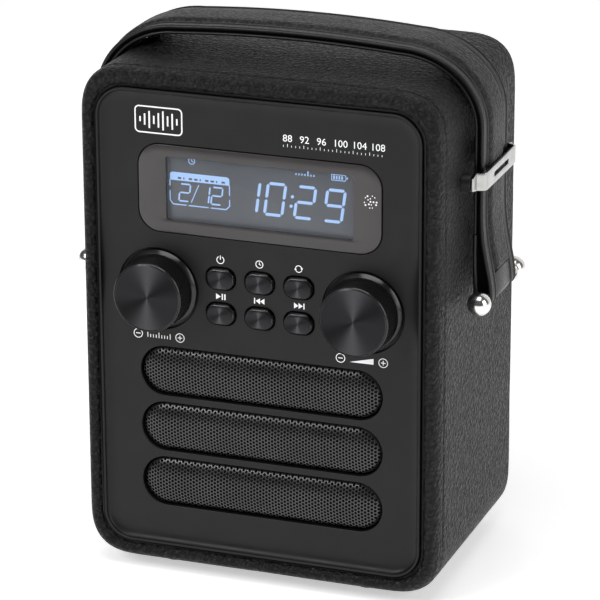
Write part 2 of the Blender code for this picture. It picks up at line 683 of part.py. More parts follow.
def make_leads():
    board_front = MAIN_BOARD_Y - GAP - 0.0006
    wire("speaker_lead", LEAD_RED, [
        (0.030, FRONT_Y + 0.0205, 0.062), (0.033, FRONT_Y + 0.026, 0.068), (0.036, FRONT_Y + 0.036, 0.078),
        (0.037, FRONT_Y + 0.047, 0.086), (0.037, board_front, 0.090),
    ], 0.0006)
    wire("battery_lead", LEAD_RED, [
        (-0.0315, BACK_FACE_Y - 0.012, 0.048), (-0.036, BACK_FACE_Y - 0.013, 0.055),
        (-0.038, BACK_FACE_Y - 0.0165, 0.066), (-0.036, BACK_FACE_Y - 0.02, 0.08),
        (-0.033, board_front, 0.088),
    ], 0.0006)
    wire("antenna_wire", COMPONENT, [
        (-0.047, MAIN_BOARD_Y - 0.006, 0.118), (-0.047, MAIN_BOARD_Y - 0.008, 0.138),
        (-0.043, MAIN_BOARD_Y - 0.010, 0.1525), (-0.030, MAIN_BOARD_Y - 0.011, 0.1545),
        (0.0, MAIN_BOARD_Y - 0.011, 0.155), (0.030, MAIN_BOARD_Y - 0.011, 0.1545),
        (0.043, MAIN_BOARD_Y - 0.011, 0.151),
    ], 0.0006)


make_leather_wrap()
make_cabinet()
make_feet()
make_front_panel()
make_display()
make_speaker_grille()
make_speaker()
make_knobs()
make_buttons()
make_control_board()
make_strap()
make_strap_pins()
make_keepers()
make_back_panel()
make_sockets()
make_boards()
make_battery()
make_leads()
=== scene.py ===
"""Leather-covered portable radio, as it looks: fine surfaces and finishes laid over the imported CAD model.

Metres, in the CAD model's own frame: +Z up, the front faces -Y, and +X is on the right as the front is seen.
Positions come from the CAD nodes' boxes. The lists of printed shapes are in mm.
"""

import math

import bmesh
import bpy
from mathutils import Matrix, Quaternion, Vector, noise


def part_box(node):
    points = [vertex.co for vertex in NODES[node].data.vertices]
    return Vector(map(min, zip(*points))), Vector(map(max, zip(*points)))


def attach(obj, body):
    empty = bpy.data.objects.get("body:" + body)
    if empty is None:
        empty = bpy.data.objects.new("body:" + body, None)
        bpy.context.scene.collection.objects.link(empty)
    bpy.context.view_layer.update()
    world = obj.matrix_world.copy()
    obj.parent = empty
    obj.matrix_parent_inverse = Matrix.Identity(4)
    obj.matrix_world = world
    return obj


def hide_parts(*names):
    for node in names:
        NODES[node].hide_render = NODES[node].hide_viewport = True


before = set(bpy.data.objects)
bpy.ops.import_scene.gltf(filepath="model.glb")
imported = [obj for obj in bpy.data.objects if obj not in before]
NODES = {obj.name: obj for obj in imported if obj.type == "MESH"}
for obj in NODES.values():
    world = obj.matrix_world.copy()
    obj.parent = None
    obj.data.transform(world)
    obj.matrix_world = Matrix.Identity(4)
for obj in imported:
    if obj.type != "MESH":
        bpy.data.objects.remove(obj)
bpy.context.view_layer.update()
SCENE = bpy.context.scene
MM = 0.001
MICRON = 1e-6


# ---- What the CAD says ----

def middle(node):
    low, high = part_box(node)
    return (low + high) / 2


def span(node):
    low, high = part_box(node)
    return high - low


WRAP_LOW, WRAP_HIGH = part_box("leather_wrap")
PANEL_LOW, PANEL_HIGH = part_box("front_panel")
LENS_LOW, LENS_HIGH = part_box("display_lens")
LCD_LOW, LCD_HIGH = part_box("lcd_panel")
CASE_R = 0.017
PANEL_R = 0.0095
RIM_T = 0.0008
COVE_W = 0.0044
COVE_BLEND = 0.8
GAP = 0.0003
PANEL_Z = middle("front_panel").z
FACE_Y = LENS_LOW.y + 0.0002
FACE_BACK_Y = FACE_Y + 0.003
LENS_R = 0.007
LENS_Z = middle("display_lens").z
SLOT = (0.0793, 0.0163)
SLOT_Z = (0.0668, 0.04835, 0.02998)
HOLE_LIP = 0.00022
THROUGH_DEPTH = 0.003
LENS_DEPTH = 0.0014
LENS_OPENING = (0.067, 0.0242)
SHAFT_HOLE_R = 0.0036
HOLE_PITCH = 0.001166
HOLE_R = 0.00046
SHEET_T = 0.0004
KNOBS = {"tuning": "tuning_control", "volume": "volume_control"}
KNOB_SEAT_R = 0.0131
KNOB_SEAT_DEPTH = 0.001
KNOB_GRIP_R = 0.0115
KNOB_TOP_R = 0.0112
KNOB_CAP_R = 0.0106
BUTTONS = [(row, column) for row in ("upper", "lower") for column in ("left", "middle", "right")]
BUTTON_W = 0.0093
BUTTON_H = 0.0067
BUTTON_R = 0.0031
STRAP_Y = middle("handle_strap").y
STRAP_W = span("handle_strap").y
PAD_W = span("strap_pad").y
PAD_X = 0.06395
PAD_END_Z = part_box("strap_pad")[0].z
ARCH_TOP_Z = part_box("strap_pad")[1].z
ARCH_RISE = 0.0014
SHOULDER_W = 0.028
SHOULDER_H = 0.0245
STRAP_INSET = 0.00105
STRAP_T = 0.003
FLARE_Z = 0.1235
INNER_END_Z = 0.107
LOOP_X = 0.0634
LOOP_Z = 0.0938
LOOP_R = 0.0029
KEEPER_H = 0.0055


# ---- Finishes ----

class Look:
    """A Principled material and the textures that feed it, which run in mm of the object's own space."""

    def __init__(self, name, colour, roughness, metallic=0.0, **sockets):
        self.material = bpy.data.materials.new(name)
        self.material.use_nodes = True
        self.tree = self.material.node_tree
        self.shader = self.tree.nodes["Principled BSDF"]
        self.colour = (*colour, 1.0)
        self.roughness = roughness
        values = {"Base Color": self.colour, "Roughness": roughness, "Metallic": metallic}
        values.update({key.replace("_", " "): value for key, value in sockets.items()})
        for key, value in values.items():
            self.shader.inputs[key].default_value = value
        self.place = self.tree.nodes.new("ShaderNodeTexCoord").outputs["Object"]
        self.normal = None

    def node(self, kind, inputs=(), **settings):
        made = self.tree.nodes.new(kind)
        for key, value in settings.items():
            setattr(made, key, value)
        for key, value in dict(inputs).items():
            if isinstance(value, bpy.types.NodeSocket):
                self.tree.links.new(value, made.inputs[key])
            else:
                made.inputs[key].default_value = value
        return made

    def stretched(self, stretch=(1, 1, 1), turn=(0, 0, 0)):
        """Texture space in mm, drawn out along an axis whose stretch is over 1."""
        inputs = {"Vector": self.place, "Rotation": turn, "Scale": [1000 / s for s in stretch]}
        return self.node("ShaderNodeMapping", inputs).outputs[0]

    def noise(self, size, detail=3.0, rough=0.5, stretch=(1, 1, 1), turn=(0, 0, 0), warp=0.0):
        inputs = {"Vector": self.stretched(stretch, turn), "Scale": 1 / size, "Detail": detail,
                  "Roughness": rough, "Distortion": warp}
        return self.node("ShaderNodeTexNoise", inputs).outputs["Fac"]

    def cells(self, size, feature="SMOOTH_F1", random=1.0, stretch=(1, 1, 1), turn=(0, 0, 0), warp=0.0):
        place = self.stretched(stretch, turn)
        if warp:
            drift = self.node("ShaderNodeTexNoise", {"Vector": place, "Scale": 0.8 / size, "Detail": 2.0})
            offset = self.node("ShaderNodeVectorMath", {0: drift.outputs["Color"], "Scale": warp * size},
                               operation="SCALE")
            moved = self.node("ShaderNodeVectorMath", {0: place, 1: offset.outputs[0]}, operation="ADD")
            place = moved.outputs[0]
        inputs = {"Vector": place, "Scale": 1 / size, "Randomness": random}
        return self.node("ShaderNodeTexVoronoi", inputs, feature=feature).outputs["Distance"]

    def spread(self, value, low, high, to_low=0.0, to_high=1.0):
        """value from low to high, mapped smoothly to another range."""
        inputs = {"Value": value, "From Min": low, "From Max": high, "To Min": to_low, "To Max": to_high}
        return self.node("ShaderNodeMapRange", inputs, interpolation_type="SMOOTHSTEP").outputs["Result"]

    def sum(self, a, b, operation="ADD"):
        return self.node("ShaderNodeMath", {0: a, 1: b}, operation=operation).outputs[0]

    def bump(self, height, depth_mm, strength=1.0):
        inputs = {"Height": height, "Distance": depth_mm * MM, "Strength": strength}
        if self.normal is not None:
            inputs["Normal"] = self.normal
        self.normal = self.node("ShaderNodeBump", inputs).outputs["Normal"]
        self.tree.links.new(self.normal, self.shader.inputs["Normal"])
        return self

    def tint(self, factor, colour):
        """The base colour drifts to another one where factor is 1."""
        mix = self.node("ShaderNodeMix", {"Factor": factor}, data_type="RGBA")
        mix.inputs["A"].default_value = self.colour
        mix.inputs["B"].default_value = (*colour, 1.0)
        self.tree.links.new(mix.outputs["Result"], self.shader.inputs["Base Color"])
        return self

    def vary_roughness(self, factor, low, high):
        self.tree.links.new(self.spread(factor, 0.25, 0.75, low, high), self.shader.inputs["Roughness"])
        return self


def leather(name, colour, dome_wear_and_painted_light, roughness, pebble, depth, stretch=(1, 1, 1), specular=0.32):
    """Pebbled leather: soft cells with creases between them, and fine wrinkles that shine unevenly."""
    look = Look(name, colour, roughness, Specular_IOR_Level=specular)
    domes = look.spread(look.cells(pebble, "F1", warp=0.9, stretch=stretch), 0.12, 0.72, 1.0, 0.0)
    wrinkles = look.spread(look.noise(pebble * 0.6, 2.0, 0.55, stretch, warp=0.6), 0.36, 0.6)
    look.bump(domes, depth)
    look.bump(wrinkles, depth * 0.4)
    # the domes drift to a lighter colour than the creases: partly wear on the domes, partly painted light on
    # them and painted shade in the creases
    look.tint(domes, dome_wear_and_painted_light)
    look.vary_roughness(wrinkles, roughness + 0.1, roughness - 0.06)
    return look.material


def moulded(name, colour, lighter, roughness, texture=0.18, depth=0.012, **sockets):
    """Moulded or painted plastic: a fine sparkle in the surface, and a faint drift in colour and gloss."""
    look = Look(name, colour, roughness, **sockets)
    look.bump(look.noise(texture, 2.0, 0.6), depth)
    look.tint(look.spread(look.noise(14.0, 3.0), 0.3, 0.7), lighter)
    look.vary_roughness(look.noise(6.0, 4.0), roughness - 0.04, roughness + 0.05)
    return look.material


def metal(name, colour, roughness, grain=(1, 1, 1), depth=0.003, scratch=0.12, **sockets):
    """Worked metal: fine grain along its stretched axis, and a little haze."""
    look = Look(name, colour, roughness, 1.0, **sockets)
    look.bump(look.noise(scratch, 3.0, 0.6, grain), depth)
    look.tint(look.spread(look.noise(5.0, 3.0), 0.35, 0.7), [c * 0.86 for c in colour])
    look.vary_roughness(look.noise(2.5, 4.0), roughness * 0.8, roughness * 1.35)
    return look.material


def spun(name, colour, roughness, aniso, pitch, bright, dark):
    """Metal turned on a lathe: fine rings round the object's own Y axis, and fans of painted light and
    painted shade in its base colour.
    bright and dark hold a painted fan's angle, in degrees from the top towards the right, and how narrow it
    is."""
    look = Look(name, colour, roughness, 1.0, Anisotropic=aniso)
    tangent = look.node("ShaderNodeTangent", direction_type="RADIAL", axis="Y")
    look.tree.links.new(tangent.outputs[0], look.shader.inputs["Tangent"])
    place = look.stretched()
    flat = look.node("ShaderNodeVectorMath", {0: place, 1: (1, 0, 1)}, operation="MULTIPLY").outputs[0]
    radius = look.node("ShaderNodeVectorMath", {0: flat}, operation="LENGTH").outputs["Value"]
    rings = look.sum(radius, 2 * math.pi / pitch, "MULTIPLY")
    look.bump(look.node("ShaderNodeMath", {0: rings}, operation="SINE").outputs[0], 0.0012)
    outward = look.node("ShaderNodeVectorMath", {0: flat}, operation="NORMALIZE").outputs[0]

    def fan(angle, narrow):
        axis = (math.sin(math.radians(angle)), 0, math.cos(math.radians(angle)))
        along = look.node("ShaderNodeVectorMath", {0: outward, 1: axis}, operation="DOT_PRODUCT")
        size = look.node("ShaderNodeMath", {0: along.outputs["Value"]}, operation="ABSOLUTE").outputs[0]
        return look.sum(size, narrow, "POWER")

    light, shade = fan(*bright), fan(*dark)
    fine = look.spread(look.noise(0.35, 2.0, stretch=(1, 4, 1)), 0.3, 0.7, 0.85, 1.0)
    lit = look.sum(light, 0.75, "MULTIPLY")
    level = look.sum(look.sum(lit, look.sum(shade, 0.3, "MULTIPLY"), "SUBTRACT"), 0.3)
    # painted highlight and painted shade: the fans lighten and darken the base colour by angle round the Y
    # axis
    look.tint(look.sum(level, fine, "MULTIPLY"), [c * 4.5 for c in colour])
    return look.material


def board(name, colour, trace):
    """A circuit board: solder mask with tracks under it."""
    look = Look(name, colour, 0.35)
    tracks = look.spread(look.cells(2.6, "DISTANCE_TO_EDGE", 0.35), 0.04, 0.09, 1.0, 0.0)
    look.bump(tracks, 0.03)
    look.tint(tracks, trace)
    return look.material


def fibrous(name, colour, other, size, depth, roughness=0.85):
    """Fibreboard, paper and cloth: short fibres that lie every way."""
    look = Look(name, colour, roughness)
    strands = look.noise(size, 4.0, 0.65, (3.0, 1.0, 1.0), warp=1.2)
    look.bump(strands, depth)
    look.tint(look.spread(strands, 0.35, 0.65), other)
    return look.material


def glowing(name, colour, strength, base):
    look = Look(name, base, 0.4, Emission_Color=(*colour, 1.0), Emission_Strength=strength)
    look.bump(look.noise(0.2), 0.002)
    look.tint(look.noise(3.0), [c * 0.9 for c in base])
    return look.material


def lcd_glass(name):
    """The display's ground: a fine grid of cells that is lit a little from behind."""
    look = Look(name, (0.085, 0.09, 0.1), 0.35, Emission_Color=(0.55, 0.63, 0.78, 1.0),
                Emission_Strength=0.07)
    lines = look.cells(0.35, "F1", 0.0)
    look.bump(lines, 0.004)
    look.tint(look.spread(look.noise(18.0, 1.0), 0.35, 0.65), (0.1, 0.105, 0.115))
    return look.material


LOOKS = {
    "black_leather": leather("black_leather", (0.002, 0.002, 0.0021), (0.014, 0.0136, 0.0134), 0.46, 1.6,
                             0.36, specular=0.19),
    "strap_leather": leather("strap_leather", (0.005, 0.005, 0.0052), (0.009, 0.009, 0.009), 0.34, 0.7, 0.03,
                             specular=0.34),
    "pad_leather": leather("pad_leather", (0.005, 0.0049, 0.0048), (0.024, 0.0233, 0.023), 0.46, 1.0, 0.18,
                           (1.5, 1.0, 1.5), specular=0.3),
    "fibreboard": fibrous("fibreboard", (0.012, 0.011, 0.0105), (0.02, 0.018, 0.016), 0.7, 0.08),
    "panel_black": moulded("panel_black", (0.007, 0.007, 0.0072), (0.009, 0.0088, 0.0087), 0.4,
                           Specular_IOR_Level=0.27),
    "smoked_lens": moulded("smoked_lens", (0.04, 0.037, 0.0372), (0.044, 0.041, 0.0403), 0.2, 0.5, 0.001),
    "lcd_grey": lcd_glass("lcd_grey"),
    "white_diffuser": moulded("white_diffuser", (0.8, 0.82, 0.84), (0.74, 0.76, 0.8), 0.5),
    "mesh_steel": moulded("mesh_steel", (0.07, 0.07, 0.07), (0.085, 0.084, 0.083), 0.3, 0.1, 0.006,
                          Metallic=0.75),
    "speaker_steel": metal("speaker_steel", (0.42, 0.42, 0.43), 0.35),
    "speaker_paper": fibrous("speaker_paper", (0.02, 0.02, 0.02), (0.035, 0.034, 0.032), 0.4, 0.05),
    "ferrite": moulded("ferrite", (0.04, 0.04, 0.044), (0.06, 0.06, 0.064), 0.6, 0.3, 0.05),
    "board_green": board("board_green", (0.008, 0.07, 0.03), (0.02, 0.13, 0.06)),
    "component_black": moulded("component_black", (0.02, 0.02, 0.021), (0.027, 0.027, 0.027), 0.45),
    "back_black": moulded("back_black", (0.02, 0.02, 0.021), (0.026, 0.026, 0.026), 0.5, 0.35, 0.05),
    "cell_wrap": moulded("cell_wrap", (0.02, 0.09, 0.3), (0.03, 0.12, 0.36), 0.35, 1.2, 0.02),
    "plated_steel": metal("plated_steel", (0.62, 0.61, 0.58), 0.28, (4, 1, 1)),
    "screw_steel": metal("screw_steel", (0.1, 0.1, 0.105), 0.3, (1, 1, 1), 0.004, 0.2),
    "lead_sleeve": moulded("lead_sleeve", (0.4, 0.02, 0.02), (0.46, 0.03, 0.03), 0.4),
    "antenna_sleeve": moulded("antenna_sleeve", (0.015, 0.015, 0.015), (0.02, 0.02, 0.02), 0.45),
    "knob_black": moulded("knob_black", (0.006, 0.006, 0.0065), (0.008, 0.008, 0.008), 0.2, 0.3, 0.002),
    "spun_metal": spun("spun_metal", (0.0135, 0.0137, 0.0145), 0.34, 0.85, 0.22, (2, 14), (58, 8)),
    "button_metal": spun("button_metal", (0.017, 0.0172, 0.0182), 0.34, 0.8, 0.2, (2, 16), (60, 6)),
    "chrome": metal("chrome", (0.5, 0.5, 0.49), 0.17, (1, 1, 6), 0.0008),
    "post_black": moulded("post_black", (0.012, 0.012, 0.012), (0.016, 0.016, 0.016), 0.4),
    "rubber": moulded("rubber", (0.014, 0.014, 0.014), (0.02, 0.02, 0.02), 0.75, 0.25, 0.03),
}
# painted light: the white print glows a little through its emission, though it is no lamp
WHITE_INK_PAINTED_GLOW = moulded("white_ink_painted_glow", (0.85, 0.86, 0.86), (0.8, 0.81, 0.81), 0.5, 0.15, 0.004,
                    Emission_Color=(0.9, 0.95, 1.0, 1.0), Emission_Strength=0.22)
LIT_SEGMENT = glowing("lit_segment", (0.36, 0.56, 0.95), 0.78, (0.25, 0.36, 0.55))
GOLD = metal("contact_gold", (0.83, 0.6, 0.25), 0.25, (6, 1, 1))
SPEAKER_CLOTH = fibrous("speaker_cloth", (0.006, 0.006, 0.006), (0.01, 0.01, 0.01), 0.25, 0.06)
BRIGHT_EDGE = metal("bright_edge", (0.045, 0.045, 0.047), 0.22)
SATIN_CHROME = metal("satin_chrome", (0.88, 0.87, 0.85), 0.19, (1, 1, 1), 0.0005)
# painted shade: near-black and almost without gloss, for the grille holes' walls, the lining's underside, the
# strap core and the strips under the pad's ends
PAINTED_SHADE_BLACK = moulded("painted_shade_black", (0.0015, 0.0015, 0.0015), (0.003, 0.003, 0.003), 0.8, 0.4, 0.02,
                     Specular_IOR_Level=0.05)


# ---- Making pieces ----

def add_piece(name, mesh, body, look, replaces=(), location=(0, 0, 0), sharp=35):
    """Puts a mesh in the scene as a piece that rides on a CAD body."""
    obj = bpy.data.objects.new(name, mesh)
    obj.location = location
    SCENE.collection.objects.link(obj)
    if isinstance(look, str):
        mesh.materials.append(LOOKS[look])
    else:
        mesh.materials.append(look)
    mesh.shade_smooth()
    mesh.set_sharp_from_angle(angle=math.radians(sharp))
    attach(obj, body)
    if replaces:
        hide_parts(*([replaces] if isinstance(replaces, str) else replaces))
    return obj


def to_mesh(name, bm, weld=MICRON):
    bmesh.ops.remove_doubles(bm, verts=bm.verts, dist=weld)
    bmesh.ops.recalc_face_normals(bm, faces=bm.faces)
    mesh = bpy.data.meshes.new(name)
    bm.to_mesh(mesh)
    bm.free()
    return mesh


def rounded(width, height, radius, corner=10, sides=(), power=2.0):
    """XZ outline of a rounded rectangle, from the top right corner round by the left. sides are extra points
    along the top, left, bottom and right, as shares of the straight. A power over 2 makes fuller corners."""
    w, h = width / 2 - radius, height / 2 - radius
    points = []
    extra = list(sides) or [()] * 4
    corners = [(w, h), (-w, h), (-w, -h), (w, -h)]
    for k, (cx, cz) in enumerate(corners):
        for step in range(corner + 1):
            angle = math.radians(90 * (k + step / corner))
            turn = (math.cos(angle), math.sin(angle))
            dx, dz = (math.copysign(abs(share) ** (2 / power), share) for share in turn)
            points.append((cx + radius * dx, cz + radius * dz))
        nx, nz = corners[(k + 1) % 4]
        end = math.radians(90 * (k + 1))
        for share in extra[k]:
            points.append((cx + (nx - cx) * share + radius * math.cos(end),
                           cz + (nz - cz) * share + radius * math.sin(end)))
    return points


def at(points, y, centre=(0, 0)):
    return [(x + centre[0], y, z + centre[1]) for x, z in points]


def skin(bm, rings, closed=True):
    """Faces between rings with the same number of points. Returns the rings' vertices."""
    rows = [[bm.verts.new(point) for point in ring] for ring in rings]
    for a, b in zip(rows, rows[1:]):
        count = len(a)
        for k in range(count if closed else count - 1):
            bm.faces.new((a[k], a[(k + 1) % count], b[(k + 1) % count], b[k]))
    return rows


def solid(bm, rings):
    """Faces between the rings, and one over each end."""
    rows = skin(bm, rings)
    bm.faces.new(rows[0])
    bm.faces.new(rows[-1])


def lathe(name, profile, steps=96, towards=-1):
    """A turned mesh about the Y axis. profile holds (radius, height) pairs; towards is height's sign on Y."""
    bm = bmesh.new()
    rings = []
    for radius, height in profile:
        reach = max(radius, MICRON / 10)
        rings.append([(reach * math.cos(2 * math.pi * k / steps), towards * height,
                       reach * math.sin(2 * math.pi * k / steps)) for k in range(steps)])
    rows = skin(bm, rings)
    for row, (radius, _) in ((rows[0], profile[0]), (rows[-1], profile[-1])):
        if radius <= MICRON:
            bmesh.ops.pointmerge(bm, verts=row, merge_co=(0, row[0].co.y, 0))
    return to_mesh(name, bm)


def arc(centre_a, centre_b, radius_a, radius_b, start, stop, steps):
    """Points on an ellipse's arc, angles in degrees."""
    return [(centre_a + radius_a * math.cos(math.radians(start + (stop - start) * k / steps)),
             centre_b + radius_b * math.sin(math.radians(start + (stop - start) * k / steps)))
            for k in range(steps + 1)]


def sweep(name, path, section, body, look, replaces=()):
    """A mesh whose (y, h) section follows an XZ path; h is the height over the path on its left-hand side."""
    bm = bmesh.new()
    rings = []
    for k, (x, z) in enumerate(path):
        x0, z0 = path[max(k - 1, 0)]
        x1, z1 = path[min(k + 1, len(path) - 1)]
        length = math.hypot(x1 - x0, z1 - z0)
        nx, nz = -(z1 - z0) / length, (x1 - x0) / length
        profile = section(k) if callable(section) else section
        rings.append([(x + nx * h, STRAP_Y + y, z + nz * h) for y, h in profile])
    solid(bm, rings)
    return add_piece(name, to_mesh(name, bm), body, look, replaces)


# ---- Case and leather ----

BAND_FRONT = 0.0028
BAND_ROLL = 0.0056
LIP_DEPTH = 0.0042
CORNER_FULL = 2.9
TOP_SHARES = [k / 18 for k in range(1, 18)]
SEAM_SHARES = sorted([k / 18 for k in range(1, 18) if k != 9] + [0.4965, 0.4985, 0.5, 0.5015, 0.5035])
SIDE_SHARES = [k / 24 for k in range(1, 24)]


def make_leather_cover():
    """The wrap: a soft roll round the front, a crease behind it, and a smaller roll at the back."""
    width, height = WRAP_HIGH.x - WRAP_LOW.x, WRAP_HIGH.z - WRAP_LOW.z
    centre_z = (WRAP_HIGH.z + WRAP_LOW.z) / 2
    mouth_w = PANEL_HIGH.x - PANEL_LOW.x + 2 * GAP
    mouth_h = PANEL_HIGH.z - PANEL_LOW.z + 2 * GAP
    mouth_inset = (width - mouth_w) / 2
    front, back = WRAP_LOW.y, WRAP_HIGH.y
    lip = mouth_inset - BAND_FRONT
    profile = [(mouth_inset, front + LIP_DEPTH + 0.0015)]
    profile += arc(BAND_FRONT, front + LIP_DEPTH, lip, LIP_DEPTH, 0, -80, 9)
    profile += [(BAND_FRONT + a, front + BAND_ROLL + b)
                for a, b in arc(0, 0, BAND_FRONT, BAND_ROLL, -90, -180, 12)]
    crease = [(0.00012, 0.0002), (0.00042, 0.0005), (0.00072, 0.00075), (0.0008, 0.0009), (0.00066, 0.00105),
              (0.0003, 0.0014), (0.0001, 0.0018), (0.0, 0.0024)]
    creased = range(len(profile), len(profile) + len(crease))
    profile += [(inset, front + BAND_ROLL + y) for inset, y in crease]
    run = 14
    near, far = front + 0.009, back - 0.0035
    profile += [(0.0, near + (far - near) * k / run) for k in range(run + 1)]
    profile += [(0.003 + a, back - 0.003 + b) for a, b in arc(0, 0, 0.003, 0.003, 180, 90, 7)]
    profile += [(mouth_inset - 0.0008 + a, back - 0.0008 + b) for a, b in arc(0, 0, 0.0008, 0.0008, 90, 0, 4)]
    profile += [(mouth_inset, back - 0.0045)]
    sides = [TOP_SHARES, SIDE_SHARES, SEAM_SHARES, SIDE_SHARES]
    rings = []
    for level, (inset, y) in enumerate(profile):
        share = inset / mouth_inset
        size = (width + (mouth_w - width) * share, height + (mouth_h - height) * share)
        radius = CASE_R + (PANEL_R + GAP - CASE_R) * share
        cz = centre_z + (PANEL_Z - centre_z) * share
        ring = []
        for x, z in rounded(*size, radius, 14, sides, CORNER_FULL + (2 - CORNER_FULL) * share):
            point = Vector((x, y, z + cz))
            if level in creased:
                across = max(0.0, 1 - (abs(x) / (width / 2 - 0.004)) ** 6)
                kept = max(across, 0.4) if z > height / 2 - 0.01 else 0.4
                point += Vector((x / size[0], 0, z / size[1])).normalized() * inset * (1 - kept)
            drift = noise.noise(point * 38) * 0.00022 + noise.noise(point * 120) * 0.00006
            outward = Vector((x / size[0], 0, z / size[1])).normalized()
            if abs(x) < 0.0005 and z < 0:
                drift -= 0.0003 if abs(x) < 0.0001 else 0.00005
                point.y += 0.0003 * (1 if y < 0 else -1) if abs(x) < 0.0001 else 0
            ring.append(point + outward * min(drift, 0.0) * (1 - share))
        rings.append(ring)
    bm = bmesh.new()
    skin(bm, rings)
    cover = add_piece("leather_cover", to_mesh("leather_cover", bm), "case", "black_leather", "leather_wrap",
                      sharp=50)
    thick = cover.modifiers.new("thickness", "SOLIDIFY")
    thick.thickness = 0.0011
    thick.offset = -1.0


# ---- Front panel ----

def stadium(width, height, steps=20):
    return rounded(width, height, height / 2 - MICRON, steps)


def circle(radius, steps=64):
    return [(radius * math.cos(2 * math.pi * k / steps), radius * math.sin(2 * math.pi * k / steps))
            for k in range(steps)]


def button_hole(grow):
    return rounded(BUTTON_W + 2 * GAP + grow, BUTTON_H + 2 * GAP + grow, BUTTON_R + GAP + grow / 2, 8)


def lens_hole(grow):
    width, height = LENS_HIGH.x - LENS_LOW.x + 2 * GAP, LENS_HIGH.z - LENS_LOW.z + 2 * GAP
    return rounded(width + grow, height + grow, LENS_R + GAP + grow / 2, 12)


def slot_hole(grow):
    return stadium(SLOT[0] + grow, SLOT[1] + grow)


def knob_hole(grow):
    return circle(KNOB_SEAT_R + grow / 2, 96)


def panel_holes():
    """Each hole's middle, outline and depth, and the smaller opening in its floor if it has one."""
    holes = [((0, LENS_Z), lens_hole, LENS_DEPTH, rounded(*LENS_OPENING, 0.001, 12))]
    holes += [((0, z), slot_hole, THROUGH_DEPTH, None) for z in SLOT_Z]
    for name in KNOBS:
        centre = middle(f"{name}_knob")
        holes.append(((centre.x, centre.z), knob_hole, KNOB_SEAT_DEPTH, circle(SHAFT_HOLE_R, 96)))
    for row, column in BUTTONS:
        centre = middle(f"button_{row}_{column}")
        holes.append(((centre.x, centre.z), button_hole, THROUGH_DEPTH, None))
    return holes


def make_front_panel():
    """One moulding: a flat face with holes, a coved border that rises to a thin rim, and lipped holes."""
    bm = bmesh.new()
    panel_w, panel_h = PANEL_HIGH.x - PANEL_LOW.x, PANEL_HIGH.z - PANEL_LOW.z
    rim_y = PANEL_LOW.y
    dish = FACE_Y - rim_y
    profile = [(RIM_T + COVE_W + 0.0002, FACE_Y)]
    profile += [(RIM_T + COVE_W * (1 - math.sin(math.radians(a)) ** COVE_BLEND),
                 FACE_Y - dish * (1 - math.cos(math.radians(a)) ** COVE_BLEND)) for a in range(0, 88, 4)]
    profile += [(RIM_T, rim_y + 0.00012), (RIM_T - 0.0001, rim_y), (0.00018, rim_y), (0.0, rim_y + 0.00018)]
    profile += [(0.0, FACE_BACK_Y + 0.0075)]
    rings = []
    for inset, y in profile:
        share = min(1.0, inset / (RIM_T + COVE_W))
        radius = PANEL_R - 0.0056 * share
        rings.append(at(rounded(panel_w - 2 * inset, panel_h - 2 * inset, radius, 12), y, (0, PANEL_Z)))
    loops = [skin(bm, rings)[0]]
    lip = HOLE_LIP
    for centre, outline, depth, opening in panel_holes():
        steps = [(3 * lip, FACE_Y), (2 * lip, FACE_Y), (1.5 * lip, FACE_Y + 0.1 * lip),
                 (0.6 * lip, FACE_Y + 0.45 * lip), (0, FACE_Y + lip), (0, FACE_Y + depth)]
        rows = skin(bm, [at(outline(grow), y, centre) for grow, y in steps])
        loops.append(rows[0])
        if opening:
            inner = [bm.verts.new(p) for p in at(opening, FACE_Y + depth, centre)]
            outer = rows[-1]
            for k in range(len(outer)):
                bm.faces.new((outer[k], outer[(k + 1) % len(outer)], inner[(k + 1) % len(outer)], inner[k]))
    edges = []
    for loop in loops:
        for k, vert in enumerate(loop):
            edges.append(bm.edges.get((vert, loop[(k + 1) % len(loop)])))
    bmesh.ops.triangle_fill(bm, use_beauty=True, use_dissolve=False, edges=edges, normal=(0, -1, 0))
    add_piece("front_moulding", to_mesh("front_moulding", bm, MICRON / 2), "case", "panel_black",
              "front_panel", sharp=24)


# ---- Display ----

WINDOW_HALF_W = 0.03014
WINDOW_LOW_Z = 0.1163
WINDOW_HIGH_Z = 0.1366


